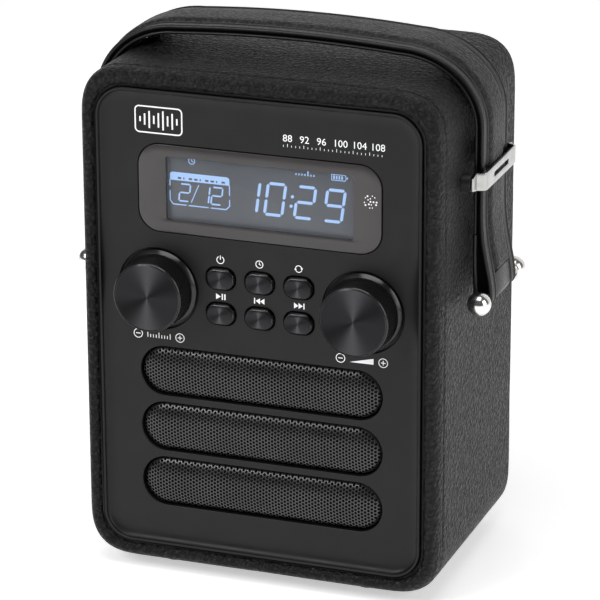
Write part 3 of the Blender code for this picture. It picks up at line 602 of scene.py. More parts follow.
def make_display():
    """The smoked border with its window cut out, a clear pane in it, and the display glass behind."""
    lens_w, lens_h = LENS_HIGH.x - LENS_LOW.x, LENS_HIGH.z - LENS_LOW.z
    window_h = WINDOW_HIGH_Z - WINDOW_LOW_Z
    shift = (WINDOW_LOW_Z + WINDOW_HIGH_Z) / 2 - LENS_Z
    front, back = LENS_LOW.y, LENS_HIGH.y

    def outer(inset):
        return rounded(lens_w - 2 * inset, lens_h - 2 * inset, LENS_R - inset, 12)

    def inner(inset):
        outline = rounded(2 * WINDOW_HALF_W + 2 * inset, window_h + 2 * inset, 0.0009 + inset, 12)
        return [(x, z + shift) for x, z in outline]

    rings = [(outer(0), back), (outer(0), front + 0.0002), (outer(0.00006), front + 0.00006),
             (outer(0.0002), front), (outer(0.003), front), (inner(0.0002), front),
             (inner(0.00006), front + 0.00006), (inner(0), front + 0.0002), (inner(0), back),
             (outer(0), back)]
    bm = bmesh.new()
    skin(bm, [at(points, y, (0, LENS_Z)) for points, y in rings])
    add_piece("display_border", to_mesh("display_border", bm), "case", "smoked_lens", "display_lens")
    pane = Look("clear_pane", (0.02, 0.02, 0.022), 0.05, Alpha=0.1)
    pane.bump(pane.noise(8.0), 0.002)
    pane.tint(pane.noise(12.0), (0.03, 0.03, 0.034))
    bm = bmesh.new()
    half_w, top, low = WINDOW_HALF_W - 0.00005, window_h / 2, -window_h / 2
    corners = [(-half_w, low), (half_w, low), (half_w, top), (-half_w, top)]
    solid(bm, [at(corners, front + deep, (0, LENS_Z + shift)) for deep in (0.0003, 0.0006)])
    add_piece("display_pane", to_mesh("display_pane", bm), "case", pane.material)
    lcd_w, lcd_h = LCD_HIGH.x - LCD_LOW.x, LCD_HIGH.z - LCD_LOW.z
    lcd_z = (LCD_HIGH.z + LCD_LOW.z) / 2
    bm = bmesh.new()
    rings = [(0.0003, LCD_LOW.y), (0.0001, LCD_LOW.y + 0.0001), (0, LCD_LOW.y + 0.0003), (0, LCD_HIGH.y)]
    solid(bm, [at(rounded(lcd_w - 2 * i, lcd_h - 2 * i, 0.0008, 6), y, (0, lcd_z)) for i, y in rings])
    add_piece("display_glass", to_mesh("display_glass", bm), "case", "lcd_grey", "lcd_panel")


# ---- Printed and lit shapes ----

class Ink:
    """Flat shapes, given in mm, on a plane that faces the front or the back."""

    def __init__(self):
        self.bm = bmesh.new()

    def fill(self, points):
        self.bm.faces.new([self.bm.verts.new((x * MM, 0, z * MM)) for x, z in points])

    def bar(self, a, b, width):
        dx, dz = b[0] - a[0], b[1] - a[1]
        length = math.hypot(dx, dz)
        nx, nz = -dz / length * width / 2, dx / length * width / 2
        self.fill([(a[0] + nx, a[1] + nz), (a[0] - nx, a[1] - nz), (b[0] - nx, b[1] - nz),
                   (b[0] + nx, b[1] + nz)])

    def path(self, points, width):
        """A band of that width along the points, mitred at its corners."""
        sides = ([], [])
        for k, (x, z) in enumerate(points):
            x0, z0 = points[max(k - 1, 0)]
            x1, z1 = points[min(k + 1, len(points) - 1)]
            if points[0] == points[-1]:
                x0, z0 = points[k - 1] if k else points[-2]
                x1, z1 = points[k + 1] if k < len(points) - 1 else points[1]
            first = Vector((x - x0, z - z0)).normalized() if (x, z) != (x0, z0) else None
            second = Vector((x1 - x, z1 - z)).normalized() if (x, z) != (x1, z1) else None
            first, second = first or second, second or first
            along = (first + second).normalized()
            reach = width / 2 / max(along.dot(first), 0.5)
            for side, sign in zip(sides, (1, -1)):
                shift = reach * sign
                side.append(self.bm.verts.new(((x - along.y * shift) * MM, 0, (z + along.x * shift) * MM)))
        left, right = sides
        for k in range(len(points) - 1):
            self.bm.faces.new((left[k], left[k + 1], right[k + 1], right[k]))

    def ring(self, x, z, radius, width, start=0, stop=360, steps=32):
        self.path([(x + a, z + b) for a, b in arc(0, 0, radius, radius, start, stop, steps)], width)

    def disc(self, x, z, radius, steps=16):
        self.fill([(x + a, z + b) for a, b in circle(radius, steps)])

    def number(self, body, x, z, height):
        """Plain upright digits, centred on x with their foot at z."""
        curve = bpy.data.curves.new("digits", "FONT")
        curve.body = body
        curve.align_x = "CENTER"
        curve.size = height / 0.7
        curve.resolution_u = 3
        holder = bpy.data.objects.new("digits", curve)
        SCENE.collection.objects.link(holder)
        bpy.context.view_layer.update()
        mesh = bpy.data.meshes.new_from_object(holder.evaluated_get(bpy.context.evaluated_depsgraph_get()))
        bpy.data.objects.remove(holder)
        for vert in mesh.vertices:
            vert.co = ((x + vert.co.x) * MM, 0, (z + vert.co.y) * MM)
        self.bm.from_mesh(mesh)
        bpy.data.meshes.remove(mesh)

    def piece(self, name, y, look, rise=0.00004, lean=0.0, foot=0.0):
        """Raises the shapes by rise off the plane at y. lean slants them to the right above foot."""
        for vert in self.bm.verts:
            vert.co.x += (vert.co.z - foot * MM) * lean
        bmesh.ops.remove_doubles(self.bm, verts=self.bm.verts, dist=MICRON)
        raised = bmesh.ops.extrude_face_region(self.bm, geom=self.bm.faces[:])["geom"]
        moved = [g for g in raised if isinstance(g, bmesh.types.BMVert)]
        bmesh.ops.translate(self.bm, verts=moved, vec=(0, -rise, 0))
        mesh = to_mesh(name, self.bm, MICRON / 10)
        return add_piece(name, mesh, "case", look, location=(0, y, 0), sharp=30)


SEGMENTS = {
    "0": "abcdef", "1": "bc", "2": "abged", "9": "abfgcd",
}


def seven_segment(ink, digit, x, z, width, height, thick):
    """One seven-segment digit with its lower left at x, z."""
    half, gap, middle_z = thick / 2, thick * 0.2, z + height / 2
    right, top = x + width, z + height
    ends = {
        "a": ((x, top), (right, top)), "d": ((x, z), (right, z)), "g": ((x, middle_z), (right, middle_z)),
        "f": ((x, middle_z), (x, top)), "e": ((x, z), (x, middle_z)),
        "b": ((right, middle_z), (right, top)), "c": ((right, z), (right, middle_z)),
    }
    for segment in SEGMENTS[digit]:
        (x0, z0), (x1, z1) = ends[segment]
        if segment in "adg":
            ink.fill([(x0 + gap, z0), (x0 + gap + half, z0 + half), (x1 - gap - half, z0 + half),
                      (x1 - gap, z0), (x1 - gap - half, z0 - half), (x0 + gap + half, z0 - half)])
        else:
            ink.fill([(x0, z0 + gap), (x0 + half, z0 + gap + half), (x0 + half, z1 - gap - half),
                      (x0, z1 - gap), (x0 - half, z1 - gap - half), (x0 - half, z0 + gap + half)])


def make_display_shapes():
    """What the display shows: a slanted time, a date in a tabbed frame, a clock, a week and a battery."""
    y = LCD_LOW.y - 0.00001
    time = Ink()
    low, tall, wide, thick = 121.1, 9.9, 5.6, 0.95
    for digit, x in zip("1029", (-7.1, 1.15, 10.75, 20.15)):
        seven_segment(time, digit, x, low, wide, tall, thick)
    time.disc(9.3, low + 3.4, 0.52)
    time.disc(9.3, low + 6.4, 0.52)
    time.piece("display_time", y, LIT_SEGMENT, 0.00003, 0.14, low)
    date = Ink()
    foot, high, span_w = 122.35, 5.45, 3.3
    for digit, x in zip("212", (-26.7, -20.35, -16.2)):
        seven_segment(date, digit, x, foot, span_w, high, 0.5)
    date.bar((-22.6, foot - 0.2), (-20.75, foot + high + 0.2), 0.28)
    date.piece("display_date", y, LIT_SEGMENT, 0.00003, 0.12, foot)
    marks = Ink()
    left, right, base, top, head = -29.5, -10.1, 121.1, 131.4, 128.8
    frame_line = 0.34
    for points in ([(left, head), (left, 126.9)],
                   [(left, 125.4), (left, 122.3), (-28.5, 121.1), (-24.2, 121.1)],
                   [(-23.4, base), (-17.0, base)],
                   [(-16.2, base), (-11.3, base), (right, 122.3), (right, 124.3)],
                   [(right, 125.6), (right, head)]):
        marks.path(points, frame_line)
    marks.fill([(left, head), (right, head), (right, 130.6), (right - 0.25, 131.15), (right - 0.8, top),
                (left + 0.8, top), (left + 0.25, 131.15), (left, 130.6)])
    marks.ring(-22.3, 135.4, 1.0, 0.26, steps=24)
    marks.path([(-22.3, 136.1), (-22.3, 135.4), (-21.75, 135.1)], 0.24)
    for k in range(7):
        x = 11.4 + k * 0.95
        marks.bar((x, 134.5), (x, 136.1 if k == 4 else 135.1), 0.42)
    marks.path([(22.75, 136.0), (27.0, 136.0), (27.3, 135.4), (27.3, 134.75), (27.0, 134.2), (22.75, 134.2),
                (22.75, 136.0)], 0.26)
    marks.bar((27.7, 134.8), (27.7, 135.4), 0.35)
    for k in range(4):
        marks.bar((23.5 + k * 0.85, 134.55), (23.5 + k * 0.85, 135.65), 0.5)
    marks.piece("display_marks", y, LIT_SEGMENT, 0.00002)
    header = Ink()
    for k in range(9):
        x = -26.9 + k * 1.78
        header.bar((x, 129.6), (x + (0.4 if k % 3 == 1 else 1.1), 129.6), 0.62)
    header.piece("display_header_marks", y - 0.00002, "lcd_grey", 0.00002)


def loop_back(points):
    """The points, with the first one again at the end."""
    return [*points, points[0]]


def make_panel_print():
    """White marks on the panel: framed level bars, a tuning scale, and signs at the buttons and knobs."""
    ink = Ink()
    x, z = -32.3, 147.7
    ink.path([(x + a / MM, z + b / MM) for a, b in loop_back(rounded(0.0152, 0.0082, 0.0013, 5))], 0.42)
    for k, tall in enumerate((1.6, 3.6, 5.4, 2.6, 4.6, 6.0, 3.2, 5.0, 2.0)):
        ink.bar((x - 6.0 + 1.5 * k, z - tall / 2), (x - 6.0 + 1.5 * k, z + tall / 2), 0.5)
    for number, x in zip((88, 92, 96, 100, 104, 108), (9.3, 14.7, 20.1, 26.1, 32.1, 37.9)):
        ink.number(str(number), x, 145.2, 2.2)
    for k in range(25):
        x = 8.0 + k * 1.3
        ink.bar((x, 143.5), (x, 144.5 if k % 4 == 1 else 144.1), 0.16)
    buttons = {column: middle(f"button_upper_{column}").x / MM for column in ("left", "middle", "right")}
    x, z = buttons["left"], 105.3
    ink.ring(x, z, 1.15, 0.26, 118, 422, 28)
    ink.bar((x, z + 0.1), (x, z + 1.45), 0.26)
    x = buttons["middle"]
    ink.ring(x, z, 1.15, 0.24)
    ink.path([(x, z + 0.75), (x, z), (x + 0.55, z - 0.2)], 0.22)
    x = buttons["right"]
    ink.ring(x, z, 1.05, 0.24, 20, 160, 14)
    ink.ring(x, z, 1.05, 0.24, 200, 340, 14)
    ink.fill([(x + 0.62, z + 0.35), (x + 1.42, z + 0.35), (x + 1.02, z - 0.4)])
    ink.fill([(x - 0.62, z - 0.35), (x - 1.42, z - 0.35), (x - 1.02, z + 0.4)])
    z = 93.45
    half = 0.95
    x = buttons["left"]
    ink.fill([(x - 1.55, z + half), (x - 1.55, z - half), (x + 0.0, z)])
    ink.bar((x + 0.5, z - half), (x + 0.5, z + half), 0.42)
    ink.bar((x + 1.35, z - half), (x + 1.35, z + half), 0.42)
    for x, sign in ((buttons["middle"], -1), (buttons["right"], 1)):
        ink.bar((x + sign * 1.65, z - half), (x + sign * 1.65, z + half), 0.36)
        for start in (-1.55, -0.1):
            foot = x + sign * start
            ink.fill([(foot, z + half), (foot, z - half), (x + sign * (start + 1.4), z)])
    z = 78.3
    for x, plus in ((-40.3, False), (-26.4, True), (26.1, False), (39.8, True)):
        ink.ring(x, z, 1.4, 0.24)
        ink.bar((x - 0.75, z), (x + 0.75, z), 0.26)
        if plus:
            ink.bar((x, z - 0.75), (x, z + 0.75), 0.26)
    for k in range(9):
        x = -37.1 + k * 0.93
        ink.bar((x, z - 0.9), (x, z + (0.9 if k % 4 == 0 else 0.15)), 0.24)
    ink.fill([(29.1, z - 0.9), (36.7, z - 0.9), (36.7, z + 1.0)])
    ink.piece("panel_print", FACE_Y - 0.00001, WHITE_INK_PAINTED_GLOW, 0.00002)
    dots = Ink()
    for count, radius in ((1, 0), (5, 0.95), (10, 1.95)):
        for k in range(count):
            angle = 2 * math.pi * (k + 0.3 * (k % 2)) / count
            x, z = 35.66 + radius * math.cos(angle), 129.2 + radius * math.sin(angle)
            dots.disc(x, z, 0.29 if k % 3 == 0 else 0.2, 8)
    dots.piece("sensor_dots", LENS_LOW.y - 0.00001, WHITE_INK_PAINTED_GLOW, 0.00002)


# ---- Speaker mesh ----

def make_speaker_mesh():
    """Three pillows of perforated steel, their holes on a hexagonal pitch, with dark cloth behind."""
    pitch = HOLE_PITCH
    column_step = pitch * math.sqrt(3) / 2
    roll, front, drop = 0.0076, FACE_Y - 0.0006, 0.0024
    width, height = SLOT[0] - 0.0008, SLOT[1] - 0.0008
    radius = height / 2
    straight = width / 2 - radius

    def held(x, z):
        """The point, brought back to the pillow's outline if it is outside, and how far inside it is."""
        cx = max(-straight, min(straight, x))
        reach = math.hypot(x - cx, z)
        if reach > radius:
            x, z = cx + (x - cx) * radius / reach, z * radius / reach
        return x, z, max(0.0, radius - reach)

    def depth_at(inside):
        edge = 1 - min(inside / roll, 1.0)
        return front + drop * (1 - math.sqrt(max(0.0, 1 - edge * edge))) - 0.0003 * min(inside / radius, 1.0)

    corners = [(math.cos(math.radians(30 * k)), math.sin(math.radians(30 * k))) for k in range(12)]
    hexagon = [(x * pitch / math.sqrt(3) / (1 if k % 2 == 0 else 2 / math.sqrt(3)),
                z * pitch / math.sqrt(3) / (1 if k % 2 == 0 else 2 / math.sqrt(3)))
               for k, (x, z) in enumerate(corners)]
    columns = int((width / 2 + pitch) / column_step)
    rows = int((height / 2 + pitch) / pitch)
    bm = bmesh.new()
    for slot_z in SLOT_Z:
        for i in range(-columns, columns + 1):
            for j in range(-rows, rows + 1):
                cx, cz = i * column_step, (j + 0.5 * (i % 2)) * pitch
                _, _, inside = held(cx, cz)
                if math.hypot(max(abs(cx) - straight, 0.0), cz) > radius + pitch * 0.5:
                    continue
                cell = []
                for x, z in hexagon:
                    px, pz, deep = held(cx + x, cz + z)
                    cell.append(bm.verts.new((px, depth_at(deep), pz + slot_z)))
                if inside < 0.0007:
                    bm.faces.new(cell)
                    continue
                rim, wall = [], []
                for x, z in corners:
                    px, pz, deep = held(cx + x * HOLE_R, cz + z * HOLE_R)
                    rim.append(bm.verts.new((px, depth_at(deep), pz + slot_z)))
                    wall.append(bm.verts.new((px, depth_at(deep) + SHEET_T, pz + slot_z)))
                for k in range(12):
                    n = (k + 1) % 12
                    bm.faces.new((cell[k], cell[n], rim[n], rim[k]))
                    bm.faces.new((rim[k], rim[n], wall[n], wall[k])).material_index = 1
    bmesh.ops.remove_doubles(bm, verts=bm.verts, dist=2e-6)
    bmesh.ops.dissolve_degenerate(bm, edges=bm.edges, dist=2e-6)
    sheet = add_piece("speaker_mesh", to_mesh("speaker_mesh", bm), "case", "mesh_steel", "speaker_grille",
                      sharp=40)
    # painted shade: the holes' walls (material index 1) are near-black so that the holes read as shade
    sheet.data.materials.append(PAINTED_SHADE_BLACK)
    bm = bmesh.new()
    for slot_z in SLOT_Z:
        backing = [(0.0, 0.0029), (0.0, 0.0022), (0.0012, 0.0012), (0.004, 0.0010)]
        solid(bm, [at(stadium(width - 2 * i, height - 2 * i), FACE_Y + y, (0, slot_z)) for i, y in backing])
    add_piece("speaker_cloth", to_mesh("speaker_cloth", bm), "case", SPEAKER_CLOTH)


# ---- Knobs and buttons ----

def make_knobs():
    """A glossy knob with a bevelled foot ring and a tapered grip, and a spun cap with a bright edge; the
    cap's fans of light and shade are painted.
    """
    for name, body in KNOBS.items():
        low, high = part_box(f"{name}_knob")
        centre = (low + high) / 2
        tall = high.y - low.y
        foot_r = (high.x - low.x) / 2
        face = high.y - FACE_Y
        grip = [(KNOB_GRIP_R + (KNOB_TOP_R - KNOB_GRIP_R) * k / 6,
                 face + 0.0016 + (tall - 0.0023 - face) * k / 6) for k in range(7)]
        profile = [(0.0033, 0.0), (foot_r - 0.0002, 0.0), (foot_r, 0.0002), (foot_r, face + 0.0003),
                   (foot_r - 0.0001, face + 0.00044), (KNOB_GRIP_R + 0.00008, face + 0.00125),
                   (KNOB_GRIP_R, face + 0.0012), *grip,
                   (KNOB_TOP_R - 0.00006, tall - 0.00045), (KNOB_TOP_R - 0.00025, tall - 0.00016),
                   (KNOB_CAP_R + 0.0002, tall - 0.00006), (KNOB_CAP_R + 0.00008, tall - 0.00006),
                   (KNOB_CAP_R + 0.00006, tall - 0.0006), (0.0, tall - 0.0006)]
        add_piece(f"{name}_knob_body", lathe(f"{name}_knob_body", profile, 128), body, "knob_black",
                  f"{name}_knob", (centre.x, high.y, centre.z), 28)
        edge = [(0.0, tall - 0.0007), (KNOB_CAP_R, tall - 0.0007), (KNOB_CAP_R, tall - 0.00015),
                (KNOB_CAP_R - 0.0002, tall), (KNOB_CAP_R - 0.0006, tall),
                (KNOB_CAP_R - 0.0006, tall - 0.0002), (0.0, tall - 0.0002)]
        add_piece(f"{name}_cap_edge", lathe(f"{name}_cap_edge", edge, 128), body, BRIGHT_EDGE, (),
                  (centre.x, high.y, centre.z), 20)
        disc_r = KNOB_CAP_R - 0.0003
        disc = [(disc_r, tall - 0.0001), (disc_r, tall + 0.00001), (0.006, tall - 0.00002),
                (0.0025, tall - 0.00005), (0.0, tall - 0.00006)]
        add_piece(f"{name}_cap_face", lathe(f"{name}_cap_face", disc, 128), body, "spun_metal",
                  f"{name}_knob_cap", (centre.x, high.y, centre.z), 20)


def make_buttons():
    """Pillow-edged keys with a spun face, whose fans of light and shade are painted."""
    for row, column in BUTTONS:
        node = f"button_{row}_{column}"
        low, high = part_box(node)
        centre = middle(node)
        front, back = low.y, high.y
        w, h = BUTTON_W, BUTTON_H
        steps = [(0.0, back), (0.0, front + 0.0009), (0.00008, front + 0.0006), (0.00025, front + 0.00035),
                 (0.0005, front + 0.00017), (0.0008, front + 0.00008), (0.0012, front + 0.00003),
                 (0.0018, front), (0.0027, front - 0.00001)]
        bm = bmesh.new()
        solid(bm, [at(rounded(w - 2 * i, h - 2 * i, max(BUTTON_R - i, 0.0003), 10), y - back)
                   for i, y in steps])
        piece = add_piece(f"{node}_cap", to_mesh(node, bm), f"key_{row}_{column}", "button_metal", node,
                          (centre.x, back, centre.z), 40)
        piece.data.materials.append(LOOKS["knob_black"])
        for face in piece.data.polygons:
            outer = max(abs(piece.data.vertices[v].co.x) for v in face.vertices) > w / 2 - 0.00028
            taller = max(abs(piece.data.vertices[v].co.z) for v in face.vertices) > h / 2 - 0.00028
            if outer or taller:
                face.material_index = 1


# ---- Strap ----

def arch_points(inset, low_z):
    """Right half of the strap's line, moved in by inset, from its middle at the top down to low_z."""
    side = PAD_X - inset
    wide, tall = SHOULDER_W - inset, SHOULDER_H - inset
    flat = side - wide
    top = ARCH_TOP_Z - ARCH_RISE - inset
    points = [(flat * k / 14, top + ARCH_RISE * (1 - (k / 14) ** 2)) for k in range(14)]
    for k in range(24):
        angle = math.radians(90 - 90 * k / 24)
        points.append((flat + wide * math.cos(angle), top - tall * (1 - math.sin(angle))))
    start = top - tall
    points += [(side, start + (FLARE_Z - start) * k / 8) for k in range(8)]
    swell = LOOP_X + LOOP_R - (PAD_X - STRAP_INSET)
    count = 16
    for k in range(count + 1):
        z = FLARE_Z + (low_z - FLARE_Z) * k / count
        t = (FLARE_Z - z) / (FLARE_Z - LOOP_Z)
        points.append((side + swell * t**3 * (4 - 3 * t), z))
    return points


def whole(half):
    """Both halves of a line, from the left foot over the top to the right foot."""
    return [(-x, z) for x, z in reversed(half[1:])] + half


def band_section(half, thick, bead, creases=()):
    """(y, h) round one leather layer: edges rolled round, which stand over the outer face by bead, and a
    narrow raised crease at each of the given distances from the middle."""
    right = []
    for middle_y in creases:
        right += [(middle_y - 0.00085, 0.0), (middle_y - 0.0006, -0.00012), (middle_y - 0.00035, 0.0),
                  (middle_y - 0.00018, bead), (middle_y + 0.00018, bead), (middle_y + 0.00035, 0.0),
                  (middle_y + 0.0006, -0.00012), (middle_y + 0.00085, 0.0)]
    roll = (thick + bead) / 2
    right += [(half - 3.4 * roll, 0.0), (half - 2.4 * roll, -0.0001)]
    right += arc(half - roll, bead - roll, roll, roll, 145, -90, 12)
    return [(-y, h) for y, h in reversed(right)] + right


def make_strap():
    """One leather band looped round the pins: its outer run, the turned-under ends, a lining between them and
    a core that is set back from the edges. A pebbled pad lies along the outside."""
    half = STRAP_W / 2
    layer, outer = 0.0012, STRAP_INSET
    inner = outer + layer + 0.0006
    inside_x = PAD_X - outer - STRAP_T + 0.0002
    join_z = 0.1138
    loop = [(LOOP_X + a, LOOP_Z + b) for a, b in arc(0, 0, LOOP_R, LOOP_R, 0, -180, 22)][1:]
    start_x, start_z = loop[-1]
    rise = []
    for k in range(1, 9):
        t = k / 8
        eased = t * t * (3 - 2 * t)
        rise.append((start_x + (inside_x - start_x) * eased, start_z + (INNER_END_Z - start_z) * t))
    rise += [(inside_x, INNER_END_Z + (join_z - INNER_END_Z) * k / 3) for k in range(1, 4)]
    section = band_section(half, layer, 0.00024, (PAD_W / 2 + 0.0013,))
    sweep("strap_band", whole(arch_points(outer, LOOP_Z) + loop + rise), section, "handle", "strap_leather",
          "handle_strap")
    lining = [p for p in arch_points(inner, LOOP_Z) if p[1] > FLARE_Z + MICRON]
    lining += [(PAD_X - inner, FLARE_Z), (PAD_X - inner, join_z + 0.0003)]
    under = sweep("strap_lining", whole(lining), band_section(half - 0.0002, 0.001, 0.0), "handle",
                  "strap_leather")
    # painted shade: the lining's underside, inside its rolled edges, is near-black to stand in for the shade
    # under the strap
    under.data.materials.append(PAINTED_SHADE_BLACK)
    for face in under.data.polygons:
        if abs(face.center.y - STRAP_Y) < half - 0.001:
            face.material_index = 1
    make_core(half - 0.0009, outer + layer - 0.00005, inner + 0.00005, LOOP_R - layer - 0.00002,
              inside_x + layer * 0.9)
    make_pad(outer)


def make_core(half, outer, inner, loop_r, inside_x):
    """The filling between the layers, near-black as painted shade in the gap between them: thin over the
    arch, and a solid eye round each pin.
    """
    upper = arch_points(outer, LOOP_Z)
    lower = [p for p in arch_points(inner, LOOP_Z) if p[1] > FLARE_Z + MICRON] + [(PAD_X - inner, 0.1165)]
    eye = [(LOOP_X + a, LOOP_Z + b) for a, b in arc(0, 0, loop_r, loop_r, -6, -174, 16)]
    right = upper + eye + [(inside_x, INNER_END_Z + 0.001), (inside_x, 0.115)] + list(reversed(lower))
    bm = bmesh.new()
    for sign in (1, -1):
        outline = [(sign * x, z) for x, z in right]
        ends = [bm.verts.new((x, STRAP_Y - half, z)) for x, z in outline]
        edges = [bm.edges.new((ends[k], ends[(k + 1) % len(ends)])) for k in range(len(ends))]
        filled = bmesh.ops.triangle_fill(bm, use_beauty=True, use_dissolve=False, edges=edges,
                                         normal=(0, -1, 0))
        faces = [g for g in filled["geom"] if isinstance(g, bmesh.types.BMFace)]
        raised = bmesh.ops.extrude_face_region(bm, geom=faces)["geom"]
        moved = [g for g in raised if isinstance(g, bmesh.types.BMVert)]
        bmesh.ops.translate(bm, verts=moved, vec=(0, 2 * half, 0))
    # painted shade: the core is near-black to stand in for the shade between the layers
    add_piece("strap_core", to_mesh("strap_core", bm, MICRON / 10), "handle", PAINTED_SHADE_BLACK)


def make_pad(base):
    """The soft pad on the outside of the strap: crowned, pulled in at its edges, and tapered at its ends."""
    line = whole(arch_points(base, PAD_END_Z))
    half = PAD_W / 2
    lengths = [0.0]
    for (x0, z0), (x1, z1) in zip(line, line[1:]):
        lengths.append(lengths[-1] + math.hypot(x1 - x0, z1 - z0))
    total = lengths[-1]
    shares = (0, 0.03, 0.08, 0.16, 0.28, 0.42, 0.58, 0.74, 0.9, 1.0)

    def section(k):
        from_end = min(lengths[k], total - lengths[k])
        full = min(1.0, 0.8 + from_end / 0.003)
        x, z = line[k]
        wave = 0.00006 * noise.noise(Vector((x, 0, z)) * 90)
        crown = (base + wave) * full
        narrow = half - 0.0003 * (1 - full)
        top = [(narrow * (1 - s), crown * (1 - (1 - s) ** 9)) for s in shares]
        left = [(-y, h) for y, h in reversed(top[:-1])]
        return [(narrow, -0.0002), *top, *left, (-narrow, -0.0002)]

    pad = sweep("strap_pad_cover", line, section, "handle", "pad_leather", "strap_pad")
    # painted shadow: a thin near-black strip under each end of the pad stands in for the shadow there
    for side, sign in (("left", -1), ("right", 1)):
        foot = [arch_points(base, PAD_END_Z - drop)[-1] for drop in (0.0001, 0.0009)]
        shadow_strip = [(sign * x, z) for x, z in foot]
        rise = [(half, -0.0002), (half, 0.00006), (-half, 0.00006), (-half, -0.0002)]
        sweep(f"pad_end_shadow_{side}", shadow_strip[::sign], rise, "handle", PAINTED_SHADE_BLACK)


def make_strap_balls():
    for side in ("left", "right"):
        for end, towards in (("front", -1), ("rear", 1)):
            node = f"strap_ball_{end}_{side}"
            centre = middle(node)
            low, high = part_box(node)
            radius = (high.x - low.x) / 2
            tip = high.y if towards > 0 else low.y
            base = high.y - low.y
            profile = [(0.00165, -base + 0.0002), (0.0023, -base), (0.0026, -base + 0.0004)]
            first = math.degrees(math.asin(0.0026 / radius))
            profile += [(radius * math.sin(math.radians(a)), -radius + radius * math.cos(math.radians(a)))
                        for a in [180 - first - (180 - first) * k / 24 for k in range(24)] if a < 155]
            profile.append((0.0, 0.0))
            ball = add_piece(f"{node}_cap", lathe(node, profile, 48, towards), "handle", SATIN_CHROME, node,
                             (centre.x, tip, centre.z), 40)


def make_keepers():
    """A bright strip bent into a bridge over the strap, with a slot along it and narrower feet."""
    half_z = KEEPER_H / 2
    for side, sign in (("left", -1), ("right", 1)):
        node = f"keeper_{side}"
        low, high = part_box(node)
        centre = middle(node)
        outer_x = high.x if sign > 0 else -low.x
        foot_x = (low.x if sign > 0 else -high.x)
        reach = (high.y - low.y) / 2
        bend = 0.0155
        thick = 0.0008
        inner_x = outer_x - thick
        line = [(foot_x, reach), (foot_x, bend + 0.0008), (foot_x + 0.0004, bend + 0.0002),
                (inner_x - 0.0006, bend - 0.0003), (inner_x - 0.0001, bend - 0.0007)]
        line += [(inner_x, bend - 0.0014), (inner_x, bend - 0.003), (inner_x, 0.0075), (inner_x, 0.0037)]
        full = [(x, -y) for x, y in line] + [(inner_x, 0.0)] + list(reversed(line))
        bm = bmesh.new()
        rings = []
        for k, (x, y) in enumerate(full):
            narrow = 0.0007 if k in (0, len(full) - 1) else 0.0
            levels = (-half_z + narrow, -half_z * 0.6, half_z * 0.6, half_z - narrow)
            rings.append([(sign * x, STRAP_Y + y, centre.z + h) for h in levels])
        skin(bm, rings, closed=False)
        mesh = to_mesh(f"keeper_{side}_plate", bm)
        plate = add_piece(f"keeper_{side}_plate", mesh, "case", "chrome", node, sharp=30)
        thickness = plate.modifiers.new("thickness", "SOLIDIFY")
        thickness.thickness = thick
        thickness.offset = 1.0 if plate.data.polygons[len(full) // 2].normal.x * sign > 0 else -1.0
        thickness.use_even_offset = True
        cutter = bmesh.new()
        solid(cutter, [at(rounded(0.0150, 0.0016, 0.00079, 6), y) for y in (-0.004, 0.004)])
        tool = bpy.data.objects.new(f"slot_cutter_{side}", to_mesh("slot_cutter", cutter))
        SCENE.collection.objects.link(tool)
        tool.rotation_euler = (0, 0, math.pi / 2)
        tool.location = (sign * outer_x, STRAP_Y, centre.z)
        bpy.context.view_layer.update()
        slot = plate.modifiers.new("slot", "BOOLEAN")
        slot.operation = "DIFFERENCE"
        slot.object = tool
        edge = plate.modifiers.new("edge", "BEVEL")
        edge.width = 0.00028
        edge.segments = 2
        edge.limit_method = "ANGLE"
        edge.angle_limit = math.radians(40)
        apply_modifiers(plate)
        bpy.data.objects.remove(tool)


def apply_modifiers(obj):
    """Bakes an object's modifiers into its mesh."""
    bpy.context.view_layer.update()
    graph = bpy.context.evaluated_depsgraph_get()
    mesh = bpy.data.meshes.new_from_object(obj.evaluated_get(graph))
    obj.modifiers.clear()
    obj.data = mesh
    mesh.shade_smooth()
    mesh.set_sharp_from_angle(angle=math.radians(30))


# ---- Feet and back ----

def make_feet():
    for end in ("front", "rear"):
        for side in ("left", "right"):
            node = f"foot_{end}_{side}"
            low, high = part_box(node)
            centre = middle(node)
            radius = (high.x - low.x) / 2
            tall = high.z - low.z
            profile = [(0.0, tall), (radius, tall)]
            profile += [(radius * math.cos(math.radians(a)), tall * (1 - math.sin(math.radians(a))))
                        for a in range(6, 72, 6)]
            profile += [(radius * 0.3, 0.0), (0.0, 0.0)]
            mesh = lathe(node, profile, 48, 1)
            for vert in mesh.vertices:
                vert.co = (vert.co.x, vert.co.z, vert.co.y)
            mesh.flip_normals()
            add_piece(f"{node}_pad", mesh, "case", "rubber", node, (centre.x, centre.y, low.z), 50)


def make_tongue(name, node, outline, far_gap, lift=0.0):
    """A tongue inside a socket, set back from both of the socket's ends."""
    low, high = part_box(node)
    centre = middle(node)
    bm = bmesh.new()
    solid(bm, [at(outline, y, (centre.x, centre.z + lift)) for y in (low.y + 0.0021, high.y - far_gap)])
    add_piece(name, to_mesh(name, bm), "case", "component_black")


